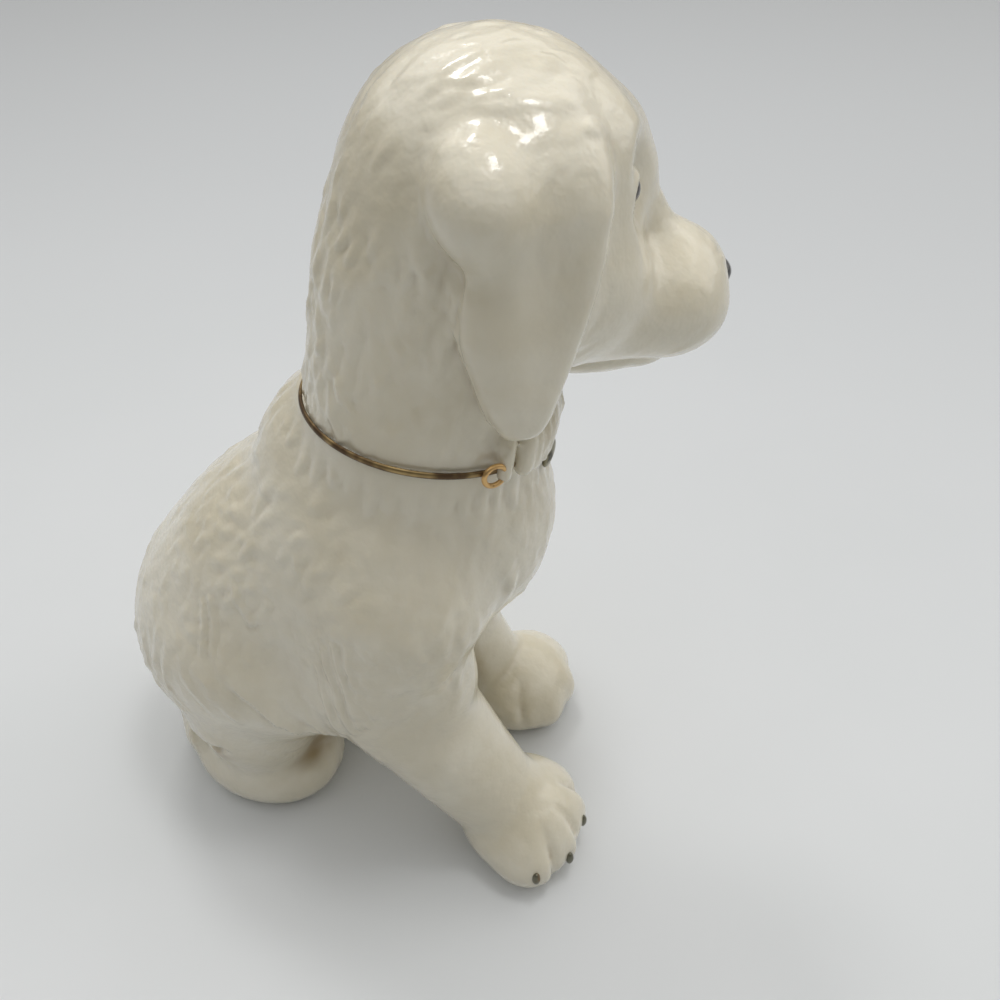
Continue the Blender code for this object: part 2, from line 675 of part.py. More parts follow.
def tag_piece():
    """The oval name tag at the front of the collar, left blank."""
    clay = bmesh.new()
    lift = Matrix.Translation((0, -TAG_DROP, -TAG_BEDDING))
    flat = Matrix.Diagonal((TAG_HALF[0], TAG_HALF[2], TAG_HALF[1] * 2, 1.0))
    bmesh.ops.create_cone(clay, cap_ends=True, segments=TAG_SIDES, radius1=1.0, radius2=1.0,
                          depth=1.0, matrix=bearing_frame(0.0) @ lift @ flat)
    rim = [edge for edge in clay.edges if not all(len(f.verts) == 4 for f in edge.link_faces)]
    bmesh.ops.bevel(clay, geom=rim, offset=TAG_EDGE, segments=EDGE_STEPS, affect="EDGES")
    return piece("tag", clay)


def finish(made, look):
    """Gives a piece its material and its shading."""
    made.data.materials.clear()
    made.data.materials.append(look)
    made.data.shade_smooth()
    made.data.set_sharp_from_angle(angle=math.radians(SMOOTH_TO))
    return made


def hang(made, parent, frame):
    """Gives a piece an origin at its own middle and hangs it on its parent."""
    corners = [frame.inverted() @ vertex.co for vertex in made.data.vertices]
    low = Vector([min(corner[axis] for corner in corners) for axis in range(3)])
    high = Vector([max(corner[axis] for corner in corners) for axis in range(3)])
    middle = (low + high) / 2
    made.data.transform(Matrix.Translation(-middle) @ frame.inverted())
    made.parent = parent
    made.location = middle


def anchor(name, frame, parent=None):
    """An empty that carries pieces."""
    made = bpy.data.objects.new(name, None)
    made.empty_display_size = ANCHOR_SIZE
    made.matrix_local = frame
    made.parent = parent
    bpy.context.scene.collection.objects.link(made)
    return made


def footprint_middle(pieces):
    """Middle of the whole figurine, seen from above."""
    points = [vertex.co for made in pieces for vertex in made.data.vertices]
    xs = [point.x for point in points]
    ys = [point.y for point in points]
    return Vector(((min(xs) + max(xs)) / 2, (min(ys) + max(ys)) / 2, 0.0))


def build():
    """Models every piece, fits it to its neighbours, hangs it on its anchor and colours it."""
    for old in list(bpy.data.objects):
        bpy.data.objects.remove(old)
    torso, (right_leg, left_leg) = main_pieces()
    collar = collar_piece()
    combine(torso, neck_block("above", True, -GAP / 2), "DIFFERENCE")
    socket = plug("socket", collar_frame(), SPIGOT_RADIUS + GAP, -SPIGOT_LENGTH - GAP,
                  SPIGOT_LENGTH, SPIGOT_SIDES)
    combine(torso, socket, "DIFFERENCE")
    feet = [hind_foot("right_hind_foot", -1), hind_foot("left_hind_foot", 1)]
    tail = tail_piece()
    seat_in(torso, tail)
    for foot in feet:
        seat_in(torso, foot)
        seat_in(tail, foot)
    for made in [torso, tail, *feet]:
        combine(made, floor_block(), "DIFFERENCE")
    seat_in(torso, collar)
    tag = tag_piece()
    seat_in(torso, tag)
    seat_middle = Matrix.Translation((0, SEAT_AT[0], 0))
    vent = plug("vent", seat_middle, VENT_RADIUS, -VENT_DEPTH, VENT_DEPTH, VENT_SIDES)
    combine(torso, vent, "DIFFERENCE")

    head = mouth_line(head_piece())
    seat_in(head, collar)
    ears = [ear_piece("right_ear", -1), ear_piece("left_ear", 1)]
    nose = nose_piece(head)
    eyes = [eye_piece("right_eye", head, -1), eye_piece("left_eye", head, 1)]
    for guest in ears + [nose] + eyes:
        seat_in(head, guest)

    claws = []
    for side, leg, name in ((-1, right_leg, "right_fore_claw"), (1, left_leg, "left_fore_claw")):
        centre, heading = paw_of(side)
        for claw in claws_of(name, leg, centre, heading, 1.0, TOE_FAN):
            seat_in(leg, claw)
            claws.append(claw)
    for side, foot, name in ((-1, feet[0], "right_hind_claw"), (1, feet[1], "left_hind_claw")):
        centre = (side * HIND_TOES_OUT, HIND_TOES_Y)
        heading = -side * HIND_HEADING
        for claw in claws_of(name, foot, centre, heading, HIND_TOE_SHARE, HIND_TOE_FAN):
            seat_in(foot, claw)
            claws.append(claw)
    ring = ring_piece()

    for made in [torso, right_leg, left_leg, *feet, tail, head]:
        mended(made)
    body_set = [torso, right_leg, left_leg, *feet, tail, collar, ring, tag, *claws]
    head_set = [head, *ears, nose, *eyes]
    stand = anchor("figurine", Matrix.Translation(-footprint_middle(body_set + head_set)))
    pose = anchor("head_pose", head_frame(), stand)
    for made in body_set:
        hang(made, stand, Matrix.Identity(4))
    for made in head_set:
        hang(made, pose, head_frame())

    ivory = material("ivory_glaze", IVORY_GLAZE)
    warm = material("warm_glaze", WARM_GLAZE)
    gilt = material("gilt", GILT)
    worn = material("worn_gilt", WORN_GILT)
    for made in [torso, right_leg, left_leg, tail, head, *ears]:
        finish(made, ivory)
    for made in feet:
        finish(made, warm)
    for made in [collar, ring, tag]:
        finish(made, gilt)
    for made in claws:
        finish(made, worn)
    finish(nose, material("silvered_nose", SILVERED))
    dark = material("dark_glaze", DARK_GLAZE)
    for made in eyes:
        finish(made, dark)


build()
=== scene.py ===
"""Looks of the sitting puppy: a glazed body, a glazed head and gilt trim.

The porcelain is worked as clay is: lumps are blended in a field of distances, a skin is drawn
over the field, and locks of fur are pressed into that skin. Lengths are in millimetres about
the point where the CAD was drawn. A piece is moved into the row frame when it is made.
"""
import math

import bpy
import numpy as np
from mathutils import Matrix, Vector, kdtree, noise


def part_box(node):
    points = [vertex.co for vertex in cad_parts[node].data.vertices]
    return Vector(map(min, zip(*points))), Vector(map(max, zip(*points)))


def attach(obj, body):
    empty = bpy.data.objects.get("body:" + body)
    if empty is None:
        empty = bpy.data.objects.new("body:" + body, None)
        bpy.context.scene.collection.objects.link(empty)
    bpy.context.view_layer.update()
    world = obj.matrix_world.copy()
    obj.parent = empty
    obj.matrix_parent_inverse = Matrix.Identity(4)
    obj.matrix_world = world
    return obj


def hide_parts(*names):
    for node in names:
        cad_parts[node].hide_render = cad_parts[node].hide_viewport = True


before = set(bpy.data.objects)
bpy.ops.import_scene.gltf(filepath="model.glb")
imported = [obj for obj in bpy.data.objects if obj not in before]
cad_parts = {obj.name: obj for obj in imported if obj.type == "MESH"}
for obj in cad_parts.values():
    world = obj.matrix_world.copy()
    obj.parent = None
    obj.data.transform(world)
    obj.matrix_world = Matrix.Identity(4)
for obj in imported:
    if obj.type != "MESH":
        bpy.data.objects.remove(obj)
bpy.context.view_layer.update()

MM = 0.001
COLLAR_AT = np.array([0.0, -12.2, 94.0])
HEAD_AT = np.array([0.0, -13.0, 94.0])                   # the head is turned about this point
LOW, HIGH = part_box("collar")
STAND = np.array((LOW + HIGH) / 2) / MM - COLLAR_AT      # from the drawing to the row frame
rng = np.random.default_rng(7)

BODY_GRID, HEAD_GRID = 0.625, 0.5                        # spacing of the clay's grids
BODY_THINNED, HEAD_THINNED = 0.42, 0.22                  # taken off the masses
OVERLAP = 0.3                                            # the skins run past the collar's middle
RIGHT_PAW, LEFT_PAW = (-18.5, -32.8), (14.0, -25.0)      # middles of the feet, seen from above
RIGHT_HIND, LEFT_HIND = (-12.8, 16.8), (12.8, 16.8)
COLLAR_RADIUS, COLLAR_WIRE, COLLAR_SQUASH = 19.75, 0.32, 1.7
RING_BEARING, RING_RADIUS, RING_WIRE = 48, 1.75, 0.42
TAG_TILT, TAG_HALF = 6, (2.35, 2.65, 0.8)
EYE_HALF, NOSE_HALF, GILT_HALF = (2.4, 2.4, 2.4), (3.4, 2.3, 2.7), (0.8, 0.8, 1.8)
RING_SHIFT, TAG_SHIFT, EYE_SHIFT = (-0.8, 0.35, -0.3), (0.5, 0.3, 1.1), (0, 1.0, 0.3)    # from the CAD
GILT_CLAWS = [(-9.4, -40.6, 5.6), (-17.5, -45.3, 7.4), (-25.4, -44.0, 6.4), (-31.6, -38.5, 7.6)]
CAMERA_AT, LOOK_DOWN, LOOK_ASIDE = (-111.2, -49.7, 178.0), 42, 13
FILM_WIDTH, LENS = 36, 32.4
SKY_DIM, SKY_BRIGHT = 0.09, 0.47                         # strength of the sky at -X and at +X


# Rotations and frames

def turn(rx=0.0, ry=0.0, rz=0.0):
    """Rotation matrix from degrees about X, then Y, then Z."""
    cx, sx = math.cos(math.radians(rx)), math.sin(math.radians(rx))
    cy, sy = math.cos(math.radians(ry)), math.sin(math.radians(ry))
    cz, sz = math.cos(math.radians(rz)), math.sin(math.radians(rz))
    about_x = np.array([[1, 0, 0], [0, cx, -sx], [0, sx, cx]])
    about_y = np.array([[cy, 0, sy], [0, 1, 0], [-sy, 0, cy]])
    about_z = np.array([[cz, -sz, 0], [sz, cz, 0], [0, 0, 1]])
    return about_z @ about_y @ about_x


HEAD = (turn(0, 6, 25), HEAD_AT)                       # turned to its left, right ear higher
COLLAR = (turn(8) @ turn(0, 6), COLLAR_AT)
PLAIN = (np.eye(3), np.zeros(3))
LEVEL = (0, 0, 0)                                      # angles of a mass that isn't turned


def placed(where, point):
    """A point of a frame, in drawing coordinates."""
    return where[0] @ np.array(point, float) + where[1]


def local(where, points):
    """Drawing points as a frame sees them."""
    return (np.asarray(points, float) - where[1]) @ where[0]


def middle_of(node):
    """Middle of a CAD node, in drawing coordinates."""
    low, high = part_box(node)
    return np.array((low + high) / 2) / MM - STAND


# Clay

class Clay:
    """A block of space that holds, at each grid point, the distance to the clay's surface."""

    def __init__(self, low, high, step):
        self.low = np.array(low, np.float32)
        self.step = step
        counts = np.ceil((np.array(high) - np.array(low)) / step).astype(int) + 1
        self.axes = [self.low[i] + step * np.arange(counts[i], dtype=np.float32) for i in range(3)]
        self.field = np.full(counts, 12.0, np.float32)

    def near(self, low, high, margin):
        """Slices of the grid that cover a box and a margin round it."""
        cut = []
        for i in range(3):
            a = int(math.floor((low[i] - margin - self.low[i]) / self.step))
            b = int(math.ceil((high[i] + margin - self.low[i]) / self.step)) + 1
            cut.append(slice(max(0, a), max(0, min(len(self.axes[i]), b))))
        return tuple(cut)

    def points(self, cut):
        x, y, z = (self.axes[i][cut[i]] for i in range(3))
        return x[:, None, None], y[None, :, None], z[None, None, :]

    def join(self, cut, distance, blend, carve=False):
        """Adds a form to the clay, or carves it out, with a fillet of about the blend's size."""
        here = self.field[cut]
        if carve:
            self.field[cut] = -smooth_min(-here, distance, blend)
        else:
            self.field[cut] = smooth_min(here, distance, blend)


def smooth_min(a, b, blend):
    """The smaller of two distances, eased where they are within the blend of each other."""
    share = np.maximum(blend - np.abs(a - b), 0) / blend
    return np.minimum(a, b) - share * share * share * (blend / 6)


def smooth_max(a, b, blend):
    return -smooth_min(-a, -b, blend)


def lump(clay, centre, half, angles=LEVEL, blend=3.0, where=PLAIN, carve=False):
    """An ellipsoid with its three half widths."""
    spin = where[0] @ turn(*angles)
    centre = placed(where, centre)
    reach = np.abs(spin) @ np.array(half, float)
    cut = clay.near(centre - reach, centre + reach, 5 + blend)
    x, y, z = clay.points(cut)
    offset = (x - centre[0], y - centre[1], z - centre[2])
    along = [sum(spin[j, i] * offset[j] for j in range(3)) for i in range(3)]
    first = np.sqrt(sum((along[i] / half[i]) ** 2 for i in range(3)))
    second = np.sqrt(sum((along[i] / half[i] ** 2) ** 2 for i in range(3))) + 1e-6
    distance = first * (first - 1) / second
    clay.join(cut, distance.astype(np.float32), blend, carve)


def taper(points, a, b, ra, rb):
    """Distance to two balls and the taper between them."""
    x, y, z = points
    ba = b - a
    square = ba @ ba
    slope = ra - rb
    rest = square - slope * slope
    px, py, pz = x - a[0], y - a[1], z - a[2]
    along = px * ba[0] + py * ba[1] + pz * ba[2]
    beyond = along - square
    vx, vy, vz = px * square - ba[0] * along, py * square - ba[1] * along, pz * square - ba[2] * along
    across = vx * vx + vy * vy + vz * vz
    before = along * along * square
    after = beyond * beyond * square
    limit = np.sign(slope) * slope * slope * across
    out = (np.sqrt(np.maximum(across * rest / square, 0)) + along * slope) / square - ra
    out = np.where(np.sign(along) * rest * before < limit, np.sqrt(across + before) / square - ra, out)
    out = np.where(np.sign(beyond) * rest * after > limit, np.sqrt(across + after) / square - rb, out)
    return out.astype(np.float32)


def limb(clay, knots, blend=3.0, where=PLAIN, carve=False):
    """A chain of tapers through points (x, y, z, radius)."""
    spots = [placed(where, knot[:3]) for knot in knots]
    radii = [knot[3] for knot in knots]
    low = np.min([spot - radius for spot, radius in zip(spots, radii)], axis=0)
    high = np.max([spot + radius for spot, radius in zip(spots, radii)], axis=0)
    cut = clay.near(low, high, 5 + blend)
    grid = clay.points(cut)
    distance = None
    for i in range(len(spots) - 1):
        step = taper(grid, spots[i], spots[i + 1], radii[i], radii[i + 1])
        distance = step if distance is None else np.minimum(distance, step)
    clay.join(cut, distance, blend, carve)


def below_plane(clay, point, normal):
    """Cuts away the clay on the side that the normal points to."""
    x, y, z = clay.points((slice(None),) * 3)
    side = (x - point[0]) * normal[0] + (y - point[1]) * normal[1] + (z - point[2]) * normal[2]
    clay.field = np.maximum(clay.field, side.astype(np.float32))


def relaxed(points, faces, share, times=1):
    """Each point moved a share of the way to the mean of its neighbours."""
    count = len(points)
    around = np.zeros(count)
    for i in range(4):
        for corner in (faces[:, i], faces[:, (i + 1) % 4]):
            around += np.bincount(corner, minlength=count)
    for _ in range(times):
        total = np.zeros_like(points)
        for i in range(4):
            a, b = faces[:, i], faces[:, (i + 1) % 4]
            for axis in range(points.shape[1]):
                total[:, axis] += np.bincount(a, weights=points[b, axis], minlength=count)
                total[:, axis] += np.bincount(b, weights=points[a, axis], minlength=count)
        points = points + share * (total / np.maximum(around, 1)[:, None] - points)
    return points


def normals_of(points, faces):
    """The outward direction at each point."""
    a, b, c, d = (points[faces[:, i]] for i in range(4))
    facing = np.cross(c - a, d - b)
    out = np.zeros_like(points)
    for i in range(4):
        for axis in range(3):
            out[:, axis] += np.bincount(faces[:, i], weights=facing[:, axis], minlength=len(points))
    return out / np.maximum(np.linalg.norm(out, axis=1), 1e-12)[:, None]


CORNERS = [(0, 0, 0), (1, 0, 0), (0, 1, 0), (1, 1, 0), (0, 0, 1), (1, 0, 1), (0, 1, 1), (1, 1, 1)]


def skin_of(clay):
    """The surface where the distance is nought, as points and four-sided faces."""
    field = clay.field
    inside = field < 0
    nx, ny, nz = field.shape
    filled = np.zeros((nx - 1, ny - 1, nz - 1), np.int8)
    for dx, dy, dz in CORNERS:
        filled += inside[dx:nx - 1 + dx, dy:ny - 1 + dy, dz:nz - 1 + dz]
    crossed = (filled > 0) & (filled < 8)
    cells = np.argwhere(crossed)
    index = np.full(crossed.shape, -1, np.int64)
    index[crossed] = np.arange(len(cells))
    total = np.zeros((len(cells), 3))
    count = np.zeros(len(cells))
    i, j, k = cells.T
    for start in CORNERS:
        for axis in range(3):
            if start[axis]:
                continue
            end = tuple(start[n] + (n == axis) for n in range(3))
            first = field[i + start[0], j + start[1], k + start[2]].astype(float)
            last = field[i + end[0], j + end[1], k + end[2]].astype(float)
            changes = (first < 0) != (last < 0)
            share = np.where(changes, first / np.where(first == last, 1, first - last), 0)
            for n in range(3):
                total[:, n] += np.where(changes, start[n] + (share if n == axis else 0), 0)
            count += changes
    points = clay.low + (cells + total / count[:, None]) * clay.step
    quads = []
    for axis in range(3):
        near = [slice(0, n) for n in field.shape]
        far = list(near)
        near[axis] = slice(0, field.shape[axis] - 1)
        far[axis] = slice(1, field.shape[axis])
        a, b = inside[tuple(near)], inside[tuple(far)]
        edges = np.argwhere(a != b)
        u, v = (axis + 1) % 3, (axis + 2) % 3
        whole = (edges[:, u] > 0) & (edges[:, v] > 0)
        whole &= (edges[:, u] < field.shape[u] - 1) & (edges[:, v] < field.shape[v] - 1)
        edges = edges[whole]
        outward = a[tuple(edges.T)]
        ring = [edges.copy() for _ in range(4)]
        ring[1][:, u] -= 1
        ring[2][:, u] -= 1
        ring[2][:, v] -= 1
        ring[3][:, v] -= 1
        quad = np.stack([index[tuple(corner.T)] for corner in ring], 1)
        quad[~outward] = quad[~outward][:, ::-1]
        quads.append(quad)
    faces = np.concatenate(quads)
    return relaxed(points, faces, 0.5, 2), faces


# Fur

def unit(vector):
    """The vector at length one."""
    return vector / max(np.linalg.norm(vector), 1e-9)


# Which way the body's fur lies about some places seen from the side, and how strongly
FLOW = [((0, 62), (0, 0.75, -0.65), 0.5),         # shoulder
        ((22, 84), (0, 0.85, -0.55), 1.0),        # nape
        ((46, 50), (0, 0.25, -1.0), 1.0),         # back
        ((-26, 74), (0, 0.12, -1.0), 1.0),        # chest
        ((-8, 56), (0, 0.30, -1.0), 1.0),         # elbow
        ((18, 32), (0, -0.60, -0.75), 1.1),       # haunch
        ((40, 22), (0, -0.35, -0.90), 1.0),       # rump
        ((-10, 30), (0, -0.45, -0.90), 1.0)]      # belly


def body_flow(point):
    """Which way the fur lies on the body."""
    y, z = point[1], point[2]
    total = np.zeros(3)
    for (at_y, at_z), way, weight in FLOW:
        total += weight * math.exp(-((y - at_y) ** 2 + (z - at_z) ** 2) / 260) * np.array(way)
    return total + np.array([0, 0.05, -0.1])


def head_flow(point):
    """Which way the fur lies on the head and the upper neck."""
    x, y, z = local(HEAD, point)
    if y < -20 and z < 30:
        way = np.array([0.6 * x / 10, 0.9, -0.15])
    elif z > 42:
        way = np.array([0.25 * x / 10, 0.8, -0.2])
    else:
        way = np.array([0.0, 0.28, -1.0])
    return HEAD[0] @ way


def lock(spot, way, length, width, height, bend=0.0, groove=0.45):
    """One lock of fur: where its middle is, which way it lies and its sizes."""
    return {"spot": np.asarray(spot, float), "way": unit(np.asarray(way, float)), "length": length,
            "width": width, "height": height, "bend": bend, "groove": groove}


def scattered(points, normals, share, flow, *, count, length, width, height, spread=22):
    """Locks at random places, denser where share is larger, lying along the flow."""
    chance = share / share.sum()
    picked = rng.choice(len(points), count, replace=False, p=chance)
    locks = []
    for spot in picked:
        normal = normals[spot]
        way = flow(points[spot])
        way = way - normal * (way @ normal)
        if np.linalg.norm(way) < 0.05:
            continue
        way = unit(way)
        side = np.cross(normal, way)
        angle = math.radians(rng.normal(0, spread))
        way = way * math.cos(angle) + side * math.sin(angle)
        size = rng.uniform(0.7, 1.3)
        locks.append(lock(points[spot], way, length * size, width * rng.uniform(0.75, 1.3),
                          height * rng.uniform(0.5, 1.25), rng.normal(0, 0.12)))
    return locks


def combed(points, faces, locks):
    """Presses the locks into the skin. Each is a ridge with a groove along one side."""
    normals = normals_of(points, faces)
    tree = kdtree.KDTree(len(points))
    for index, point in enumerate(points):
        tree.insert(point, index)
    tree.balance()
    height = np.zeros(len(points))
    for one in locks:
        reach = one["length"] / 2 + one["width"] * 2.5
        found = tree.find_range(one["spot"], reach)
        if not found:
            continue
        index = np.fromiter((item[1] for item in found), int, len(found))
        start = index[np.argmin([item[2] for item in found])]
        normal = normals[start]
        way = unit(one["way"] - normal * (one["way"] @ normal))
        side = np.cross(normal, way)
        offset = points[index] - one["spot"]
        along = (offset @ way) / (one["length"] / 2)
        across = offset @ side - one["bend"] * one["length"] * along * along * 0.5
        facing = np.clip(normals[index] @ normal * 2 - 0.4, 0, 1)
        run = np.clip((along + 1) / 2, 0, 1)
        width = one["width"] * (1.2 - 0.75 * run * run)
        fade = 1.5 * run * np.clip((1 - run) / 0.25, 0, 1)
        ridge = np.exp(-(across / width) ** 2)
        groove = np.exp(-((np.abs(across) - 1.45 * width) / (0.55 * width)) ** 2)
        height[index] += one["height"] * fade * facing * (ridge - one["groove"] * groove)
    return height


def strands(points, lines, width, height):
    """Thin raised wavy strands along chains of points."""
    raised = np.zeros(len(points))
    for line in lines:
        line = np.array(line, float)
        low, high = line.min(0) - 4 * width, line.max(0) + 4 * width
        near = np.nonzero(((points > low) & (points < high)).all(1))[0]
        gap = np.full(len(near), 99.0)
        for a, b in zip(line, line[1:]):
            share = np.clip(((points[near] - a) @ (b - a)) / ((b - a) @ (b - a)), 0, 1)
            gap = np.minimum(gap, np.linalg.norm(points[near] - a - share[:, None] * (b - a), axis=1))
        ridge = np.exp(-(gap / width) ** 2)
        groove = np.exp(-((gap - 1.6 * width) / (0.6 * width)) ** 2)
        raised[near] += height * (ridge - 0.5 * groove)
    return raised


def rough(points, size, seed):
    """Soft random unevenness, about -1 to 1, with lumps of the given size."""
    shift = Vector((seed * 17.3, seed * 5.1, seed * 9.7))
    return np.array([noise.noise(Vector(point) / size + shift) for point in points])


# The forms

def ahead(degrees):
    """The level direction at an angle from -Y towards -X."""
    angle = math.radians(degrees)
    return np.array([-math.sin(angle), -math.cos(angle)])


TOE_HALF = (4.3, 7.0, 6.6)                             # of a forefoot, across, along and up


def toes(clay, centre, heading, share, fan, blend):
    """Four toes fanned about a heading, from the inner one of a right foot outwards."""
    half = np.array(TOE_HALF) * share
    for toe in range(4):
        degrees = heading + (toe - 1.5) * fan
        at = np.array(centre) + ahead(degrees) * half[1] * 0.88
        lump(clay, (*at, half[2] * 0.95), half, (0, 0, -degrees), blend)


# Masses of the body: middle, half widths, angles and blend. A paired one is the left one.
RUMP = ((0, 25, 36), (27, 26.5, 28), LEVEL, 4)
SEAT = ((0, 25.5, 12), (20, 20, 15), LEVEL, 6)
LOINS = ((0, 16.5, 48), (25.8, 26.2, 26.2), LEVEL, 10)
BACK = ((0, 7.2, 58.3), (25.2, 26.2, 24.6), LEVEL, 10)
WITHERS = ((0, -3, 73), (24, 22, 22), LEVEL, 10)
CHEST = ((0, -15.4, 72), (20.2, 18.3, 22.2), LEVEL, 9)
NAPE = ((0, 3, 84), (15, 13.6, 13), LEVEL, 6)
THIGH = ((17.5, 16, 41), (12.6, 20.5, 16.5), LEVEL, 7)
SHOULDER = ((19, -8, 62), (9.5, 14, 22), (12, 0, 0), 9)
RIGHT_ELBOW = ((-17.2, -13.8, 46), (10.5, 10.1, 13), LEVEL, 5)
HEEL = ((15.6, 24.2, 6.8), (11.6, 16.2, 9.8), (0, 0, 7), 4.5)
HOCK = ((18.2, 23, 24), (9.6, 12, 16), LEVEL, 6)
HIND_DOME = ((12.8, 17.6, 6.0), (8.6, 8.2, 7.2), LEVEL, 2.0)

# Limbs, as points with a radius
RIGHT_LEG = [(-18, -12, 66, 13.2), (-18, -5.5, 46, 13.0), (-18.5, -26.2, 15, 9.8), (*RIGHT_PAW, 7.9, 9.5)]
LEFT_LEG = [(18, -12, 66, 13.2), (18, -3.8, 46, 12.2), (14.5, -12.1, 22, 9.4), (14, -19.6, 8.5, 8.6)]
TAIL = [(0, 44, 8.5, 6), (-9, 42.0, 8.5, 5.4), (-16.6, 36.4, 11.5, 5.0)]
TUFT = [(-15.2, 35.8, 17.6, 3.8), (-20.6, 32.3, 22.4, 3.6), (-23.7, 28.4, 24.7, 2.8),
        (-26.1, 24.2, 25.2, 0.8)]
CRACK = [(-18.6, 38.6, 17.4, 0.9), (-23.9, 32.2, 20.0, 1.1), (-26.5, 27.6, 22.2, 1.1),
         (-27.3, 25.0, 23.4, 0.5)]
LEFT_GROOVE = [(2.1, -29.5, 2, 0.7), (2.5, -28.8, 8.2, 0.7), (3.9, -27.8, 12.2, 0.7),
               (7.3, -27.3, 14.8, 0.3)]


def on_side(side, mass):
    """A paired mass, mirrored when the side is -1."""
    (x, y, z), half, (rx, ry, rz), blend = mass
    return (side * x, y, z), half, (rx, side * ry, side * rz), blend


def trunk(clay):
    """Rump, back, chest and the lower neck."""
    for mass in (RUMP, SEAT, LOINS, BACK, WITHERS, CHEST):
        lump(clay, *mass)
    limb(clay, [(0, -9, 83, 19.8), (*placed(COLLAR, (0, 0, 4)), 19.8)], blend=8)
    lump(clay, *NAPE)


def legs(clay):
    """Thighs, shoulders and forelegs. The left foreleg stands further back than the right one."""
    for side in (-1, 1):
        lump(clay, *on_side(side, THIGH))
        lump(clay, *on_side(side, SHOULDER))
    limb(clay, RIGHT_LEG, blend=7)
    lump(clay, *RIGHT_ELBOW)
    limb(clay, LEFT_LEG, blend=7)


PAW_HALF, OUTER_HALF = (12.3, 12.3, 9.5), (6.9, 7.4, 6.2)

# Grooves between the toes of the right forepaw: their headings, and how far out each starts
TOE_GROOVES = ((49, 13.3), (14, 12.9), (-30, 12.7))
GROOVE_LINE = ((0.1, 1.0, 0.7), (0.1, 7.5, 0.7), (-2.3, 12.5, 0.6), (-4.9, 15.2, 0.2))    # out, up, radius


def forepaws(clay):
    """Each paw is a ball with four toes and a fuller outer side. Grooves part the toes."""
    for side, paw, height, heading in ((-1, RIGHT_PAW, 7.9, 4.0), (1, LEFT_PAW, 7.1, -25.0)):
        lump(clay, (*paw, height), PAW_HALF, blend=2.5)
        toes(clay, paw, heading, share=1.0, fan=40, blend=2.8)
        lump(clay, (paw[0] + side * 7.1, paw[1] - 2.6, 6.0), OUTER_HALF, blend=2.8)
    for degrees, reach in TOE_GROOVES:
        knots = []
        for step, height, radius in GROOVE_LINE:
            at = np.array(RIGHT_PAW) + ahead(degrees) * (reach + step)
            knots.append((*at, height, radius))
        limb(clay, knots, blend=2.0, carve=True)
    limb(clay, LEFT_GROOVE, blend=1.8, carve=True)


def hind_feet(clay):
    """Each hind foot has a long heel, a hock up to the thigh, a dome in front and four toes."""
    for side, foot in ((-1, RIGHT_HIND), (1, LEFT_HIND)):
        for mass in (HEEL, HOCK, HIND_DOME):
            lump(clay, *on_side(side, mass))
        toes(clay, foot, side * -14.0, share=0.62, fan=26, blend=2.6)


def tail(clay):
    """The tail lies round the right of the rump. Its tuft rises over the foot, above a crack."""
    limb(clay, TAIL, blend=3.0)
    limb(clay, TUFT, blend=3.0)
    limb(clay, CRACK, blend=0.8, carve=True)


def body_form():
    """The body with its legs, feet and tail, below the collar."""
    clay = Clay((-38, -56, -2.5), (38, 56, 104), BODY_GRID)
    trunk(clay)
    legs(clay)
    clay.field += BODY_THINNED
    forepaws(clay)
    hind_feet(clay)
    tail(clay)
    below_plane(clay, (0, 0, 0), (0, 0, -1))
    below_plane(clay, placed(COLLAR, (0, 0, OVERLAP)), COLLAR[0] @ np.array([0, 0, 1.0]))
    return skin_of(clay)


# Masses of the head, in its own frame
SKULL = ((0, -10.5, 33), (21.2, 21.8, 20.5), LEVEL, 4)
SNOUT = ((0, -31.5, 17.3), (11.5, 15.2, 9.3), LEVEL, 6)
CHEEK = ((10.5, -17, 21.5), (10, 13, 11), LEVEL, 7)
BROW = ((8.0, -22.3, 38.0), (6.6, 7.0, 7.5), LEVEL, 5)
UPPER_LIP = ((5, -36.3, 14.2), (7.2, 9.1, 7.4), LEVEL, 4.0)
FLEW = ((8.0, -26.5, 15.6), (6.2, 13.5, 6.6), LEVEL, 6.0)
SOCKET = ((12.6, -35.2, 35.5), (7.0, 9.3, 10.0), LEVEL, 2.0)
JAW = ((0, -26, 8.4), (8.5, 14, 4.8), LEVEL, 0.6)
CHIN = ((0, -32, 8.4), (7.8, 7.5, 4.9), LEVEL, 0.6)
EAR_ROOT = ((18.2, -6.2, 37.4), (9.6, 7.5, 7.0), (0, 34, 0), 2.4)
EAR_FOLD = ((15.0, -13.2, 39.7), (10.6, 8.3, 6.5), (0, 42, 0), 2.6)
NOSE_BRIDGE = [(0, -26.0, 38, 6.6), (0, -28.6, 34, 5.9), (0, -30.2, 30, 5.0), (0, -34, 23.2, 4.8),
               (0, -39.0, 18.6, 5.4)]
CLEFT = [(0, -47.5, 17, 0.55), (0, -46.6, 11.5, 0.6), (0, -43.2, 8.0, 0.6)]

# Heights up the ear, and where its front and rear edges are at each
EAR_Z = [4.6, 6.2, 8.5, 12, 16, 21, 26, 30.5, 35, 39, 43, 47]
EAR_FRONT = [-10.4, -12.3, -13.6, -14.9, -16.2, -18.0, -19.4, -20.4, -21.2, -21.2, -20.2, -17.6]
EAR_REAR = [-7.6, -6.2, -5.0, -3.6, -2.4, -1.4, -1.9, -3.6, -4.6, -4.0, -4.0, -6.0]
EAR_TIP, EAR_TOP, EAR_SQUARENESS = 5.6, 47, 2.8

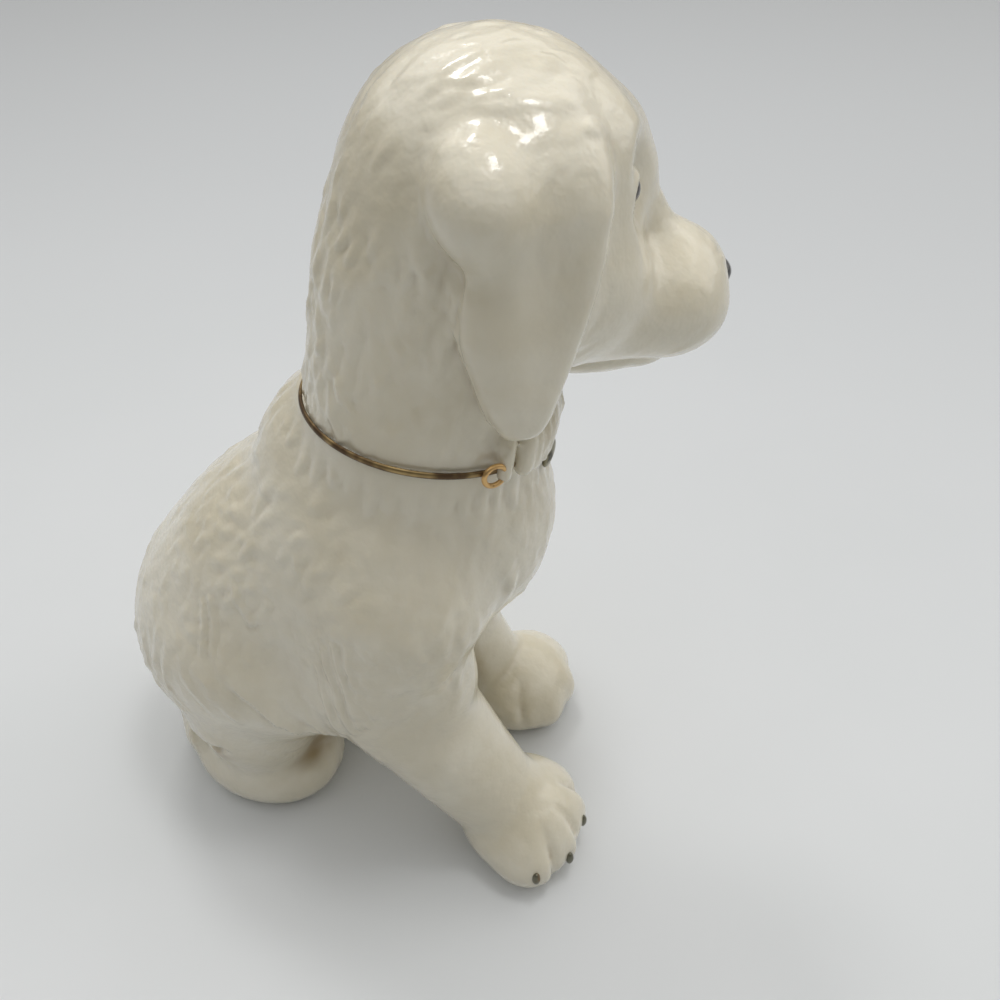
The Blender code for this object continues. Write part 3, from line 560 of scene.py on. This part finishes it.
# How thick the flap is, and how far out its middle lies, by height
EAR_THICK = ([4, 8, 20, 34, 46], [2.8, 3.6, 4.2, 4.0, 3.4])
EAR_LIE = ([4, 10, 20, 30, 36, 41, 46], [20.8, 21.4, 21.7, 21.5, 20.4, 17.6, 13.0])
EAR_HOLLOW = [(30.8, -17.4, 35, 6.0), (30.2, -13.8, 29, 6.0), (30.3, -11.5, 16, 5.0)]


def ear_form(clay, side):
    """One ear: the fold at its root, and a flap that follows its outline down to the tip."""
    lump(clay, *on_side(side, EAR_ROOT), HEAD)
    lump(clay, *on_side(side, EAR_FOLD), HEAD)
    low = placed(HEAD, (side * 22, -10, 26)) - np.array([14, 18, 26])
    cut = clay.near(low, low + np.array([28, 36, 52]), 1)
    x, y, z = clay.points(cut)
    offset = (x - HEAD[1][0], y - HEAD[1][1], z - HEAD[1][2])
    out, aft, up = [sum(HEAD[0][j, i] * offset[j] for j in range(3)) for i in range(3)]
    front = np.interp(up, EAR_Z, EAR_FRONT)
    rear = np.interp(up, EAR_Z, EAR_REAR)
    half = (rear - front) / 2
    thick = np.interp(up, *EAR_THICK)
    across = (aft - (front + rear) / 2) / half
    through = (side * out - np.interp(up, *EAR_LIE)) / thick
    square = np.abs(across) ** EAR_SQUARENESS + np.abs(through) ** EAR_SQUARENESS
    distance = (square ** (1 / EAR_SQUARENESS) - 1) * np.minimum(half, thick)
    distance = smooth_max(distance, np.maximum(EAR_TIP - up, up - EAR_TOP) * 0.9, 2.0)
    clay.join(cut, distance.astype(np.float32), 3.5)
    limb(clay, [(side * x, y, z, radius) for x, y, z, radius in EAR_HOLLOW], 3.0, HEAD, carve=True)


def at_collar(degrees, reach, height):
    """A point by its bearing from the collar's front to the right, its reach and its height."""
    return placed(COLLAR, (*(ahead(degrees) * reach), height))


def neck_locks(clay):
    """Fur of the throat that hangs over the collar: free locks, and a sheet that hides its front."""
    for degrees, radius, foot in ((40.5, 1.45, -1.6), (30.5, 1.35, -1.4)):
        limb(clay, [(*at_collar(degrees - 4, 17.4, 8.5), radius * 0.6),
                    (*at_collar(degrees - 1.5, 20.9 - radius, 4.0), radius),
                    (*at_collar(degrees, 21.9 - radius, foot + 0.8), radius * 0.8)], 1.1)
    for degrees in range(-54, 27, 5):
        reach = 21.3 - 0.6 * math.exp(-(degrees / 12) ** 2) - 0.035 * max(0, -34 - degrees)
        foot = -1.9 + 0.3 * math.sin(degrees * 1.1)
        limb(clay, [(*at_collar(degrees - 3, 17.2, 8.5), 1.2), (*at_collar(degrees, reach - 1.75, 3.2), 1.65),
                    (*at_collar(degrees + 0.6, reach - 1.4, foot + 1.4), 1.4)], 2.4)


def skull(clay):
    """Skull, neck, snout, cheeks, brows and the bridge of the nose."""
    lump(clay, *SKULL, HEAD)
    limb(clay, [(*placed(HEAD, (0, -2, 20)), 18.2), (*placed(COLLAR, (0, 0, -4)), 19.6)], blend=8)
    lump(clay, *SNOUT, HEAD)
    for side in (-1, 1):
        lump(clay, *on_side(side, CHEEK), HEAD)
        lump(clay, *on_side(side, BROW), HEAD)
    limb(clay, NOSE_BRIDGE, blend=5, where=HEAD)


def muzzle(clay):
    """Lips, eye sockets and the jaw."""
    for side in (-1, 1):
        lump(clay, *on_side(side, UPPER_LIP), HEAD)
        lump(clay, *on_side(side, FLEW), HEAD)
        lump(clay, *on_side(side, SOCKET), HEAD, carve=True)
    lump(clay, *JAW, HEAD)
    lump(clay, *CHIN, HEAD)


# Placed from the middle of an eye
LIDS = ((0.1, 1.3, 0.4), (3.6, 3.0, 3.3), LEVEL, 1.8)
LID_SLIT = ((0.9, -1.6, 0.2), (3.0, 2.6, 1.75), (0, 14, 32), 0.7)


def lids(clay, eye):
    """The lids round one eye, open at the front."""
    at = local(HEAD, eye)
    side = 1 if at[0] > 0 else -1
    for mass, carve in ((LIDS, False), (LID_SLIT, True)):
        offset, *rest = on_side(side, mass)
        lump(clay, at + offset, *rest, HEAD, carve)


def head_form(eyes):
    """The head with ears, sockets and mouth, above the collar."""
    clay = Clay((-30, -60, 82), (38, 16, 152), HEAD_GRID)
    skull(clay)
    clay.field += HEAD_THINNED
    muzzle(clay)
    for side in (-1, 1):
        ear_form(clay, side)
    for eye in eyes:
        lids(clay, eye)
    limb(clay, CLEFT, 0.6, HEAD, carve=True)
    below_plane(clay, placed(COLLAR, (0, 0, -OVERLAP)), COLLAR[0] @ np.array([0, 0, -1.0]))
    neck_locks(clay)
    return skin_of(clay)


# Looks

def nodes_for(name):
    """A new material with its node tree and its shader."""
    made = bpy.data.materials.new(name)
    made.use_nodes = True
    tree = made.node_tree
    return made, tree, tree.nodes["Principled BSDF"]


def add(tree, kind, settings=None, inputs=None):
    """One node with its settings and constant inputs."""
    node = tree.nodes.new(kind)
    for key, value in (settings or {}).items():
        setattr(node, key, value)
    for key, value in (inputs or {}).items():
        node.inputs[key].default_value = value
    return node


def blended(tree, factor, low, high):
    """A colour mix. Colours are tuples or sockets, and the factor is a number or a socket."""
    node = add(tree, "ShaderNodeMix", {"data_type": "RGBA"})
    for socket, value in ((node.inputs[0], factor), (node.inputs[6], low), (node.inputs[7], high)):
        if isinstance(value, bpy.types.NodeSocket):
            tree.links.new(value, socket)
        elif isinstance(value, tuple):
            socket.default_value = (*value, 1.0)
        else:
            socket.default_value = value
    return node.outputs[2]


def ramp(tree, source, low, high):
    """A soft step from 0 to 1 between two values of a socket."""
    node = add(tree, "ShaderNodeMapRange", {"interpolation_type": "SMOOTHSTEP"},
               {"From Min": low, "From Max": high})
    tree.links.new(source, node.inputs["Value"])
    return node.outputs["Result"]


def bumped(tree, height, strength, distance, under=None):
    """The surface's direction on a bump, which may lie over another bump."""
    node = add(tree, "ShaderNodeBump", None, {"Strength": strength, "Distance": distance})
    tree.links.new(height, node.inputs["Height"])
    if under is not None:
        tree.links.new(under, node.inputs["Normal"])
    return node.outputs["Normal"]


def tuned(shader, settings):
    """Sets constant inputs of a shader."""
    for name, value in settings.items():
        shader.inputs[name].default_value = value


def patchy(tree, scale, detail=3.0):
    """A cloudy pattern, finer with a larger scale."""
    place = add(tree, "ShaderNodeTexCoord")
    cloud = add(tree, "ShaderNodeTexNoise", None, {"Scale": scale, "Detail": detail, "Roughness": 0.55})
    tree.links.new(place.outputs["Object"], cloud.inputs["Vector"])
    return cloud.outputs["Fac"]


def porcelain(name, pale, deep, pooled_and_shade):
    """Ivory glaze, mottled, and brown in creases: partly glaze pooled there, partly painted shade."""
    made, tree, shader = nodes_for(name)
    pool_and_shade = add(tree, "ShaderNodeAttribute", {"attribute_name": "pool_and_shade"}).outputs["Fac"]
    colour = blended(tree, ramp(tree, patchy(tree, 60), 0.35, 0.68), pale, deep)
    mottle = add(tree, "ShaderNodeMath", {"operation": "MULTIPLY"}, {1: 0.22})
    tree.links.new(ramp(tree, patchy(tree, 260), 0.42, 0.7), mottle.inputs[0])
    colour = blended(tree, mottle.outputs[0], colour, deep)
    # Creases are painted brown: partly pooled glaze, partly painted shade.
    colour = blended(tree, ramp(tree, pool_and_shade, 0.52, 1.0), colour, pooled_and_shade)
    tree.links.new(colour, shader.inputs["Base Color"])
    tuned(shader, {"Roughness": 0.26, "Coat Weight": 0.55, "Coat Roughness": 0.06,
                   "Subsurface Weight": 0.12, "Subsurface Radius": (1.0, 0.8, 0.55),
                   "Subsurface Scale": 1.2 * MM})
    wave = bumped(tree, patchy(tree, 150, 2.0), 0.35, 1.0 * MM)
    ripple = bumped(tree, patchy(tree, 420, 2.0), 0.45, 0.4 * MM, wave)
    tree.links.new(ripple, shader.inputs["Normal"])
    return made


def gilding(name, bright, worn_and_shade, amount, scale=420):
    """Fired gold over glaze, rubbed through in patches, with painted shade where the mesh marks it."""
    made, tree, shader = nodes_for(name)
    rubbed = ramp(tree, patchy(tree, scale), 0.62 - amount, 0.72 - amount * 0.6)
    edge = add(tree, "ShaderNodeAttribute", {"attribute_name": "pool_and_shade"}).outputs["Fac"]
    colour = blended(tree, rubbed, bright, worn_and_shade)
    # The dark colour also paints shade where the mesh marks an edge.
    tree.links.new(blended(tree, ramp(tree, edge, 0.3, 0.9), colour, worn_and_shade), shader.inputs["Base Color"])
    shine = add(tree, "ShaderNodeMapRange", None, {"To Min": 0.30, "To Max": 0.5})
    tree.links.new(rubbed, shine.inputs["Value"])
    tree.links.new(shine.outputs["Result"], shader.inputs["Roughness"])
    tuned(shader, {"Metallic": 0.75})
    tree.links.new(bumped(tree, patchy(tree, scale * 3), 0.3, 0.2 * MM), shader.inputs["Normal"])
    return made


def dark_gloss(name, low, high, metallic, roughness):
    """Dark brushed-on glaze for the eyes and the nose."""
    made, tree, shader = nodes_for(name)
    tree.links.new(blended(tree, ramp(tree, patchy(tree, 700), 0.35, 0.7), low, high),
                   shader.inputs["Base Color"])
    tuned(shader, {"Metallic": metallic, "Roughness": roughness, "Coat Weight": 0.6,
                   "Coat Roughness": 0.05})
    tree.links.new(bumped(tree, patchy(tree, 1600), 0.25, 0.2 * MM), shader.inputs["Normal"])
    return made


GLAZE = porcelain("glaze", pale=(0.78, 0.735, 0.605), deep=(0.70, 0.645, 0.50), pooled_and_shade=(0.37, 0.28, 0.15))
GILT = gilding("gilt_worn_and_shade", bright=(0.38, 0.27, 0.12), worn_and_shade=(0.10, 0.06, 0.03), amount=0.22, scale=150)
GILT_RING = gilding("gilt_ring", bright=(0.70, 0.45, 0.19), worn_and_shade=(0.30, 0.17, 0.07), amount=0.08)
CLAW = gilding("claw_gilt", bright=(0.17, 0.165, 0.12), worn_and_shade=(0.20, 0.12, 0.05), amount=0.10, scale=300)
TAG = gilding("tag_gilt", bright=(0.24, 0.22, 0.14), worn_and_shade=(0.08, 0.075, 0.055), amount=0.12)
NOSE = dark_gloss("nose_lustre", (0.045, 0.045, 0.045), (0.10, 0.10, 0.10), metallic=0.4, roughness=0.25)
EYE = dark_gloss("eye_glaze", (0.018, 0.011, 0.007), (0.045, 0.022, 0.012), metallic=0.0, roughness=0.12)


# Pieces

def meshed(name, points, faces, look, slot, replaced, pool_and_shade=None):
    """Makes a piece from drawing coordinates, in the row frame, on the figurine's one body."""
    mesh = bpy.data.meshes.new(name)
    mesh.from_pydata(((np.asarray(points) + STAND) * MM).tolist(), [], [list(face) for face in faces])
    mesh.validate()
    mesh.shade_smooth()
    # This attribute marks where the look paints pooled glaze and painted shade.
    if pool_and_shade is not None:
        values = mesh.attributes.new("pool_and_shade", "FLOAT", "POINT")
        values.data.foreach_set("value", pool_and_shade.astype(np.float32))
    made = bpy.data.objects.new(name, mesh)
    bpy.context.scene.collection.objects.link(made)
    made.data.materials.append(look)
    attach(made, "root")
    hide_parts(*replaced)


def pool_and_shade_depth(points, faces, depth):
    """Crease depth at each point, 0 on an edge to 1 in a deep fold: where glaze pools and shade is painted.
    """
    smooth = relaxed(points, faces, 0.6, 14)
    sunk = np.einsum("ij,ij->i", smooth - points, normals_of(smooth, faces))
    value = relaxed(sunk[:, None], faces, 0.5, 2)[:, 0]
    return np.clip(0.5 + value / (2 * depth), 0, 1)


def ruff_locks(points):
    """Short locks that stand out from under the collar all round."""
    locks = []
    count = 40
    for n in range(count):
        around = math.tau * (n + rng.uniform(-0.25, 0.25)) / count
        out = np.array([math.sin(around), math.cos(around), 0.0])
        length = rng.uniform(6.5, 10.5)
        at = placed(COLLAR, out * 21.0 + np.array([0, 0, -1.0 - length * 0.42]))
        way = COLLAR[0] @ (out * 0.5 + np.array([0, 0, -1.0]))
        near = points[np.argmin(((points - at) ** 2).sum(1))]
        locks.append(lock(near, way, length, rng.uniform(0.9, 1.5), rng.uniform(0.16, 0.40),
                          rng.normal(0, 0.1), 0.35))
    return locks


def stained_and_shaded(points, pool_and_shade, spots):
    """Adds brown places, of run glaze and painted shade: a middle, three half widths and a strength."""
    for centre, half, strength in spots:
        away = (((points - np.array(centre)) / np.array(half)) ** 2).sum(1)
        pool_and_shade = np.maximum(pool_and_shade, 0.5 + 0.5 * strength * np.exp(-away))
    return pool_and_shade


# Painted brown: run glaze and painted shade above the hind feet, painted shade at the other places.
STAINS_AND_SHADE = [((-17.5, 12.0, 13.8), (6.5, 5.0, 3.0), 0.95),   # above the right hind foot
          ((17.5, 12.0, 13.8), (6.5, 5.0, 3.0), 0.8),     # above the left hind foot
          ((-15.0, 11.5, 13.6), (8.0, 4.5, 4.2), 0.7),    # a wider one above the right hind foot
          ((5.0, -17.5, 22.0), (3.0, 4.0, 9.0), 0.65),    # between the forelegs
          ((-27.0, 27.0, 20.5), (2.0, 4.0, 2.0), 0.6)]    # below the tuft of the tail
LIP_Y = [-3.3, 0.0, 3.5, 6.6, 9.4, 11.6, 14.0, 18.9]      # the lower edge of the haunch's fur
LIP_Z = [39.5, 36.5, 36.4, 37.2, 39.0, 41.4, 44.7, 48.4]
LIP_STEP = [0.0, 0.7, 1.0, 1.0, 0.9, 0.8, 0.6, 0.2]

# Strands of fur that run down the elbow, and shorter ones on the haunch
ELBOW = [[(-28.5, -1.2, 63.2), (-29.3, -1.4, 58.5), (-30.0, -2.9, 54.1), (-30.5, -3.5, 48.2),
          (-30.3, -4.9, 43.5)],
         [(-29.4, -3.9, 65.5), (-30.0, -4.0, 61.3), (-30.5, -5.2, 56.2), (-30.7, -5.2, 51.7),
          (-30.6, -6.3, 45.9)],
         [(-30.2, -6.3, 66.6), (-30.6, -6.2, 62.2), (-30.7, -7.0, 56.9), (-30.8, -6.8, 51.8),
          (-30.5, -7.9, 46.4)],
         [(-28.9, 1.0, 58.0), (-29.4, 0.4, 53.5), (-29.9, -0.8, 49.0), (-29.7, -1.2, 45.0),
          (-29.2, -2.4, 41.5)]]
HAUNCH = [[(-22.6, 16.4, 67.5), (-23.6, 15.2, 64.5), (-24.9, 13.0, 61.8)],
          [(-24.0, 9.5, 66.0), (-24.8, 11.2, 63.0), (-24.9, 13.0, 61.8)],
          [(-22.6, 21.6, 62.5), (-24.6, 20.9, 57.5), (-26.0, 21.6, 52.5)],
          [(-21.9, 23.4, 61.5), (-24.0, 23.1, 56.5), (-25.6, 23.6, 52.0)]]


def haunch_lip(points, normals):
    """The fur of each haunch ends in a raised lower edge."""
    x, y, z = points.T
    above = z - np.interp(y, LIP_Y, LIP_Z)
    outward = np.clip(np.abs(normals[:, 0]) * 2 - 0.7, 0, 1) * (np.abs(x) > 20)
    step = np.interp(y, LIP_Y, LIP_STEP) * outward
    step = step * np.clip((y + 3.3) / 2, 0, 1) * np.clip((20.5 - y) / 3, 0, 1)
    edge = 0.5 + 0.5 * np.tanh(above / 0.45)
    raised = edge * np.exp(-np.maximum(above, 0) / 5.0)
    sunk = (1 - edge) * np.exp(np.minimum(above, 0) / 2.5) * 0.5
    return step * (raised - sunk)


def make_body():
    """The body's skin with its fur. The legs and feet are nearly bare."""
    points, faces = body_form()
    normals = normals_of(points, faces)
    y, z = points[:, 1], points[:, 2]
    on_fur = np.clip((z - 14) / 12, 0, 1) * np.clip((92 - z) / 6, 0, 1)
    leg = (y < -4 - (46 - z) * 0.35) & (z < 44)
    bare = (z < np.interp(y, LIP_Y, LIP_Z) - 0.5) & (y > -3) & (y < 34) & (z < 42)
    share = on_fur * np.where(leg | bare, 0.04, 1.0) + 1e-6
    on_shoulders, on_haunches = share * (z > 66), share * (z < 44) * (y > -2)
    locks = scattered(points, normals, share, body_flow, count=900, length=8.5, width=1.3, height=0.12)
    locks += scattered(points, normals, on_shoulders, body_flow,
                       count=160, length=9.5, width=1.5, height=0.16, spread=12)
    locks += scattered(points, normals, on_haunches, body_flow,
                       count=240, length=9.0, width=1.2, height=0.20, spread=14)
    locks += ruff_locks(points)
    height = np.clip(combed(points, faces, locks), -0.6, 0.8)
    height += 0.20 * rough(points, 8.0, 1) * on_fur + 0.04 * rough(points, 3.0, 2)
    lines = [np.array(line) + rng.normal(0, 0.18, (len(line), 3)) for line in ELBOW + HAUNCH]
    lines += [line * (-1, 1, 1) for line in lines[:len(ELBOW)]]
    height += haunch_lip(points, normals) + strands(points, lines, width=0.75, height=0.26)
    ground = np.clip(z / 1.5, 0, 1)
    shape = points + normals * (height * ground)[:, None]
    shape[:, 2] = np.maximum(shape[:, 2], 0.0)
    # The body is painted brown in creases and at set places: pooled glaze and painted shade.
    meshed("body_glazed", shape, faces, GLAZE, "ivory_glaze",
           ("torso", "right_foreleg", "left_foreleg", "right_hind_foot", "left_hind_foot", "tail"),
           stained_and_shaded(shape, pool_and_shade_depth(shape, faces, depth=0.52), STAINS_AND_SHADE))


def throat_strands():
    """Strands on the sheet of fur that hangs over the collar at the throat."""
    lines = []
    for degrees in np.arange(-52.0, 27.0, 4.2):
        a, b, c = degrees + rng.normal(0, 1.0, 3)
        top = at_collar(a - 3, 19.8, 7.5 + rng.normal(0, 1))
        lines.append([top, at_collar(b - 1, 21.0, 3.0), at_collar(c, 21.1, -1.2)])
    return lines


def make_head(eyes):
    """The head's skin with its fur. The ears and the face are nearly bare."""
    points, faces = head_form(eyes)
    normals = normals_of(points, faces)
    x, y, z = local(HEAD, points).T
    ear = (np.abs(x) > 21.5) | ((np.abs(x) > 19.5) & (z > 30))
    face = (y < -21) & (z < 48)
    share = np.where(ear, 0.05, 1.0) * np.where(face, 0.06, 1.0) * np.clip((z - 1) / 3, 0, 1) + 1e-6
    on_nape = share * (y > -12) * (z < 36)
    locks = scattered(points, normals, share, head_flow,
                      count=420, length=7.5, width=1.2, height=0.12, spread=18)
    locks += scattered(points, normals, on_nape, head_flow,
                       count=200, length=8.0, width=1.2, height=0.22, spread=16)
    height = np.clip(combed(points, faces, locks), -0.5, 0.7)
    height += 0.12 * rough(points, 6.0, 3) * np.where(face, 0.3, 1.0)
    height += strands(points, throat_strands(), width=0.7, height=0.28)
    shape = points + normals * height[:, None]
    # The head is painted brown in creases: pooled glaze and painted shade.
    meshed("head_glazed", shape, faces, GLAZE, "ivory_glaze", ("head", "right_ear", "left_ear"),
           pool_and_shade_depth(shape, faces, depth=0.60))


def hoop(where, radius, wire, steps, squash=1.0):
    """Points and faces of a closed wire round a frame's Z axis, in so many steps."""
    sides = 12
    points = []
    for step in range(steps):
        around = math.tau * step / steps
        for side in range(sides):
            angle = math.tau * side / sides
            reach = radius + wire * math.cos(angle)
            points.append(placed(where, (reach * math.cos(around), reach * math.sin(around),
                                         wire * squash * math.sin(angle))))
    faces = []
    for step in range(steps):
        for side in range(sides):
            turn_on = (side + 1) % sides
            here, there = step * sides, (step + 1) % steps * sides
            faces.append((here + side, there + side, there + turn_on, here + turn_on))
    return np.array(points), faces


def ball(where, half, angles=(0, 0, 0), rings=16, sides=24, shape=None):
    """Points and faces of an ellipsoid; shape may move its points, given on a unit ball."""
    spin = turn(*angles)
    unit_points = [(0, 0, 1)]
    for ring in range(1, rings):
        slope = math.pi * ring / rings
        for side in range(sides):
            angle = math.tau * side / sides
            unit_points.append((math.sin(slope) * math.cos(angle), math.sin(slope) * math.sin(angle),
                                math.cos(slope)))
    unit_points.append((0, 0, -1))
    unit_points = np.array(unit_points)
    if shape is not None:
        unit_points = shape(unit_points)
    points = (unit_points * np.array(half)) @ spin.T
    points = points @ where[0].T + where[1]
    faces = []
    for side in range(sides):
        after = (side + 1) % sides
        faces.append((0, 1 + side, 1 + after))
        for ring in range(rings - 2):
            a, b = 1 + ring * sides, 1 + (ring + 1) * sides
            faces.append((a + side, b + side, b + after, a + after))
        last = 1 + (rings - 2) * sides
        faces.append((last + side, len(points) - 1, last + after))
    return points, faces


def bearing(degrees):
    """Axes at a point of the collar: Z outward, X along the band, Y up."""
    around = math.radians(degrees)
    out = np.array([-math.sin(around), -math.cos(around), 0.0])
    along = np.array([math.cos(around), -math.sin(around), 0.0])
    return COLLAR[0] @ np.stack([-along, np.array([0, 0, 1.0]), out], 1)


def nose_shape(points):
    """Broad on top, narrow below, with two nostrils."""
    out = points.copy()
    out[:, 0] *= 1.0 + 0.22 * points[:, 2]
    for side in (-1, 1):
        away = ((points[:, 0] - side * 0.5) ** 2 + (points[:, 2] + 0.12) ** 2) / 0.045
        out[:, 1] += np.where(points[:, 1] < 0, 0.42, 0) * np.exp(-away)
    cleft = np.exp(-(points[:, 0] / 0.09) ** 2) * np.clip(0.4 - points[:, 2], 0, 1)
    out[:, 1] += np.where(points[:, 1] < 0, 0.16, 0) * cleft
    return out


def make_collar():
    """The painted collar line with painted shade along its lower edge, with its ring and its blank tag."""
    points, faces = hoop(COLLAR, COLLAR_RADIUS, COLLAR_WIRE, 160, COLLAR_SQUASH)
    # Painted shade: the band darkens towards its lower edge.
    worn_and_shade = np.clip(-local(COLLAR, points)[:, 2] / 0.5, 0, 1)
    meshed("collar_band", points, faces, GILT, "gilt", ("collar",), worn_and_shade)
    axes = bearing(RING_BEARING)
    at = middle_of("collar_ring") + axes @ RING_SHIFT
    meshed("ring", *hoop((axes, at), RING_RADIUS, RING_WIRE, 40), GILT_RING, "gilt", ("collar_ring",))
    at = middle_of("tag") + bearing(0) @ TAG_SHIFT
    meshed("tag_plate", *ball((bearing(TAG_TILT), at), TAG_HALF), TAG, "gilt", ("tag",))


def make_face():
    """The eyes and the nose."""
    for name in ("right_eye", "left_eye"):
        at = middle_of(name) + HEAD[0] @ EYE_SHIFT
        meshed(name + "_bead", *ball((HEAD[0], at), EYE_HALF), EYE, "dark_glaze", (name,))
    points, faces = ball((HEAD[0], middle_of("nose")), NOSE_HALF, (2, 0, 0), 40, 56, nose_shape)
    meshed("nose_pad", points, faces, NOSE, "silvered_nose", ("nose",))


def make_claws():
    """Gilt claws on the right forepaw. The others are rubbed to ivory and sit further in."""
    for n, spot in enumerate(GILT_CLAWS, 1):
        name = f"right_fore_claw_{n}"
        meshed(name + "_gilt", *ball((np.eye(3), np.array(spot)), GILT_HALF), CLAW, "gilt", (name,))
    for foot, centre, inward in (("left_fore", LEFT_PAW, 1.0), ("right_hind", RIGHT_HIND, 2.2),
                                 ("left_hind", LEFT_HIND, 2.2)):
        for n in range(1, 5):
            name = f"{foot}_claw_{n}"
            low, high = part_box(name)
            at = middle_of(name)
            at[:2] -= unit(at[:2] - centre) * inward
            points, faces = ball((np.eye(3), at), (high - low) / 2 / MM)
            meshed(name + "_rubbed", points, faces, GLAZE, "ivory_glaze", (name,))


# Stage

def lamp(name, at, aim, energy, size, colour):
    """A flat lamp at one point, turned to another."""
    data = bpy.data.lights.new(name, "AREA")
    data.shape = "RECTANGLE"
    data.energy, data.size, data.size_y, data.color = energy, size[0], size[1], colour
    made = bpy.data.objects.new(name, data)
    made.location = at
    made.rotation_euler = (Vector(aim) - Vector(at)).to_track_quat("-Z", "Y").to_euler()
    bpy.context.scene.collection.objects.link(made)


def make_floor():
    """A pale floor, painted lighter near the camera and darker away from it as light falling off."""
    floor = bpy.data.meshes.new("floor")
    floor.from_pydata([(-3, -3, 0), (3, -3, 0), (3, 3, 0), (-3, 3, 0)], [], [(0, 1, 2, 3)])
    made = bpy.data.objects.new("floor", floor)
    bpy.context.scene.collection.objects.link(made)
    look, tree, shader = nodes_for("floor_paint")
    place = add(tree, "ShaderNodeTexCoord")
    away = add(tree, "ShaderNodeSeparateXYZ")
    tree.links.new(place.outputs["Object"], away.inputs[0])
    paint = blended(tree, ramp(tree, patchy(tree, 9), 0.3, 0.7), (0.71, 0.735, 0.75), (0.75, 0.77, 0.79))
    # Painted shade: the paint darkens towards +X, away from the camera.
    tree.links.new(blended(tree, ramp(tree, away.outputs["X"], -0.25, 0.35), paint, (0.58, 0.60, 0.62)),
                   shader.inputs["Base Color"])
    shader.inputs["Roughness"].default_value = 0.55
    floor.materials.append(look)


def make_light():
    """A sky that is brighter towards +X, and four lamps."""
    world = bpy.data.worlds.new("studio")
    world.use_nodes = True
    tree = world.node_tree
    sky = tree.nodes["Background"]
    sky.inputs[0].default_value = (0.92, 0.885, 0.83, 1)
    place = add(tree, "ShaderNodeTexCoord")
    aside = add(tree, "ShaderNodeSeparateXYZ")
    tree.links.new(place.outputs["Generated"], aside.inputs[0])
    level = add(tree, "ShaderNodeMapRange", None,
                {"From Min": -1.0, "From Max": 1.0, "To Min": SKY_DIM, "To Max": SKY_BRIGHT})
    tree.links.new(aside.outputs["X"], level.inputs["Value"])
    tree.links.new(level.outputs["Result"], sky.inputs[1])
    bpy.context.scene.world = world
    lamp("overhead", (0.13, 0.04, 0.96), (0, 0, 0.05), 12.0, (2.3, 2.3), (1.0, 1.0, 0.99))
    lamp("front", (0.50, -0.82, 0.55), (0, 0, 0.07), 1.0, (0.7, 0.5), (1.0, 0.99, 0.97))
    lamp("lobe", (0.06, -0.12, 0.72), (-0.012, -0.026, 0.139), 0.7, (0.16, 0.12), (1.0, 0.99, 0.97))
    lamp("spot", (0.27, 0.19, 0.66), (0, 0, 0.12), 0.7, (0.14, 0.10), (1.0, 0.99, 0.97))


def make_camera():
    """The photograph's view: a wide lens close to the head, looking down 42 degrees."""
    data = bpy.data.cameras.new("camera")
    data.sensor_width = FILM_WIDTH
    data.lens = LENS
    data.clip_start = 0.001
    made = bpy.data.objects.new("camera", data)
    made.location = Vector(CAMERA_AT) * MM + Vector(STAND) * MM
    down, aside = math.radians(LOOK_DOWN), math.radians(LOOK_ASIDE)
    way = Vector((math.cos(aside) * math.cos(down), math.sin(aside) * math.cos(down), -math.sin(down)))
    made.rotation_euler = way.to_track_quat("-Z", "Y").to_euler()
    bpy.context.scene.collection.objects.link(made)
    bpy.context.scene.camera = made


make_body()
make_head([middle_of("right_eye"), middle_of("left_eye")])
make_collar()
make_face()
make_claws()
make_floor()
make_light()
make_camera()
bpy.context.scene.view_settings.view_transform = "Standard"
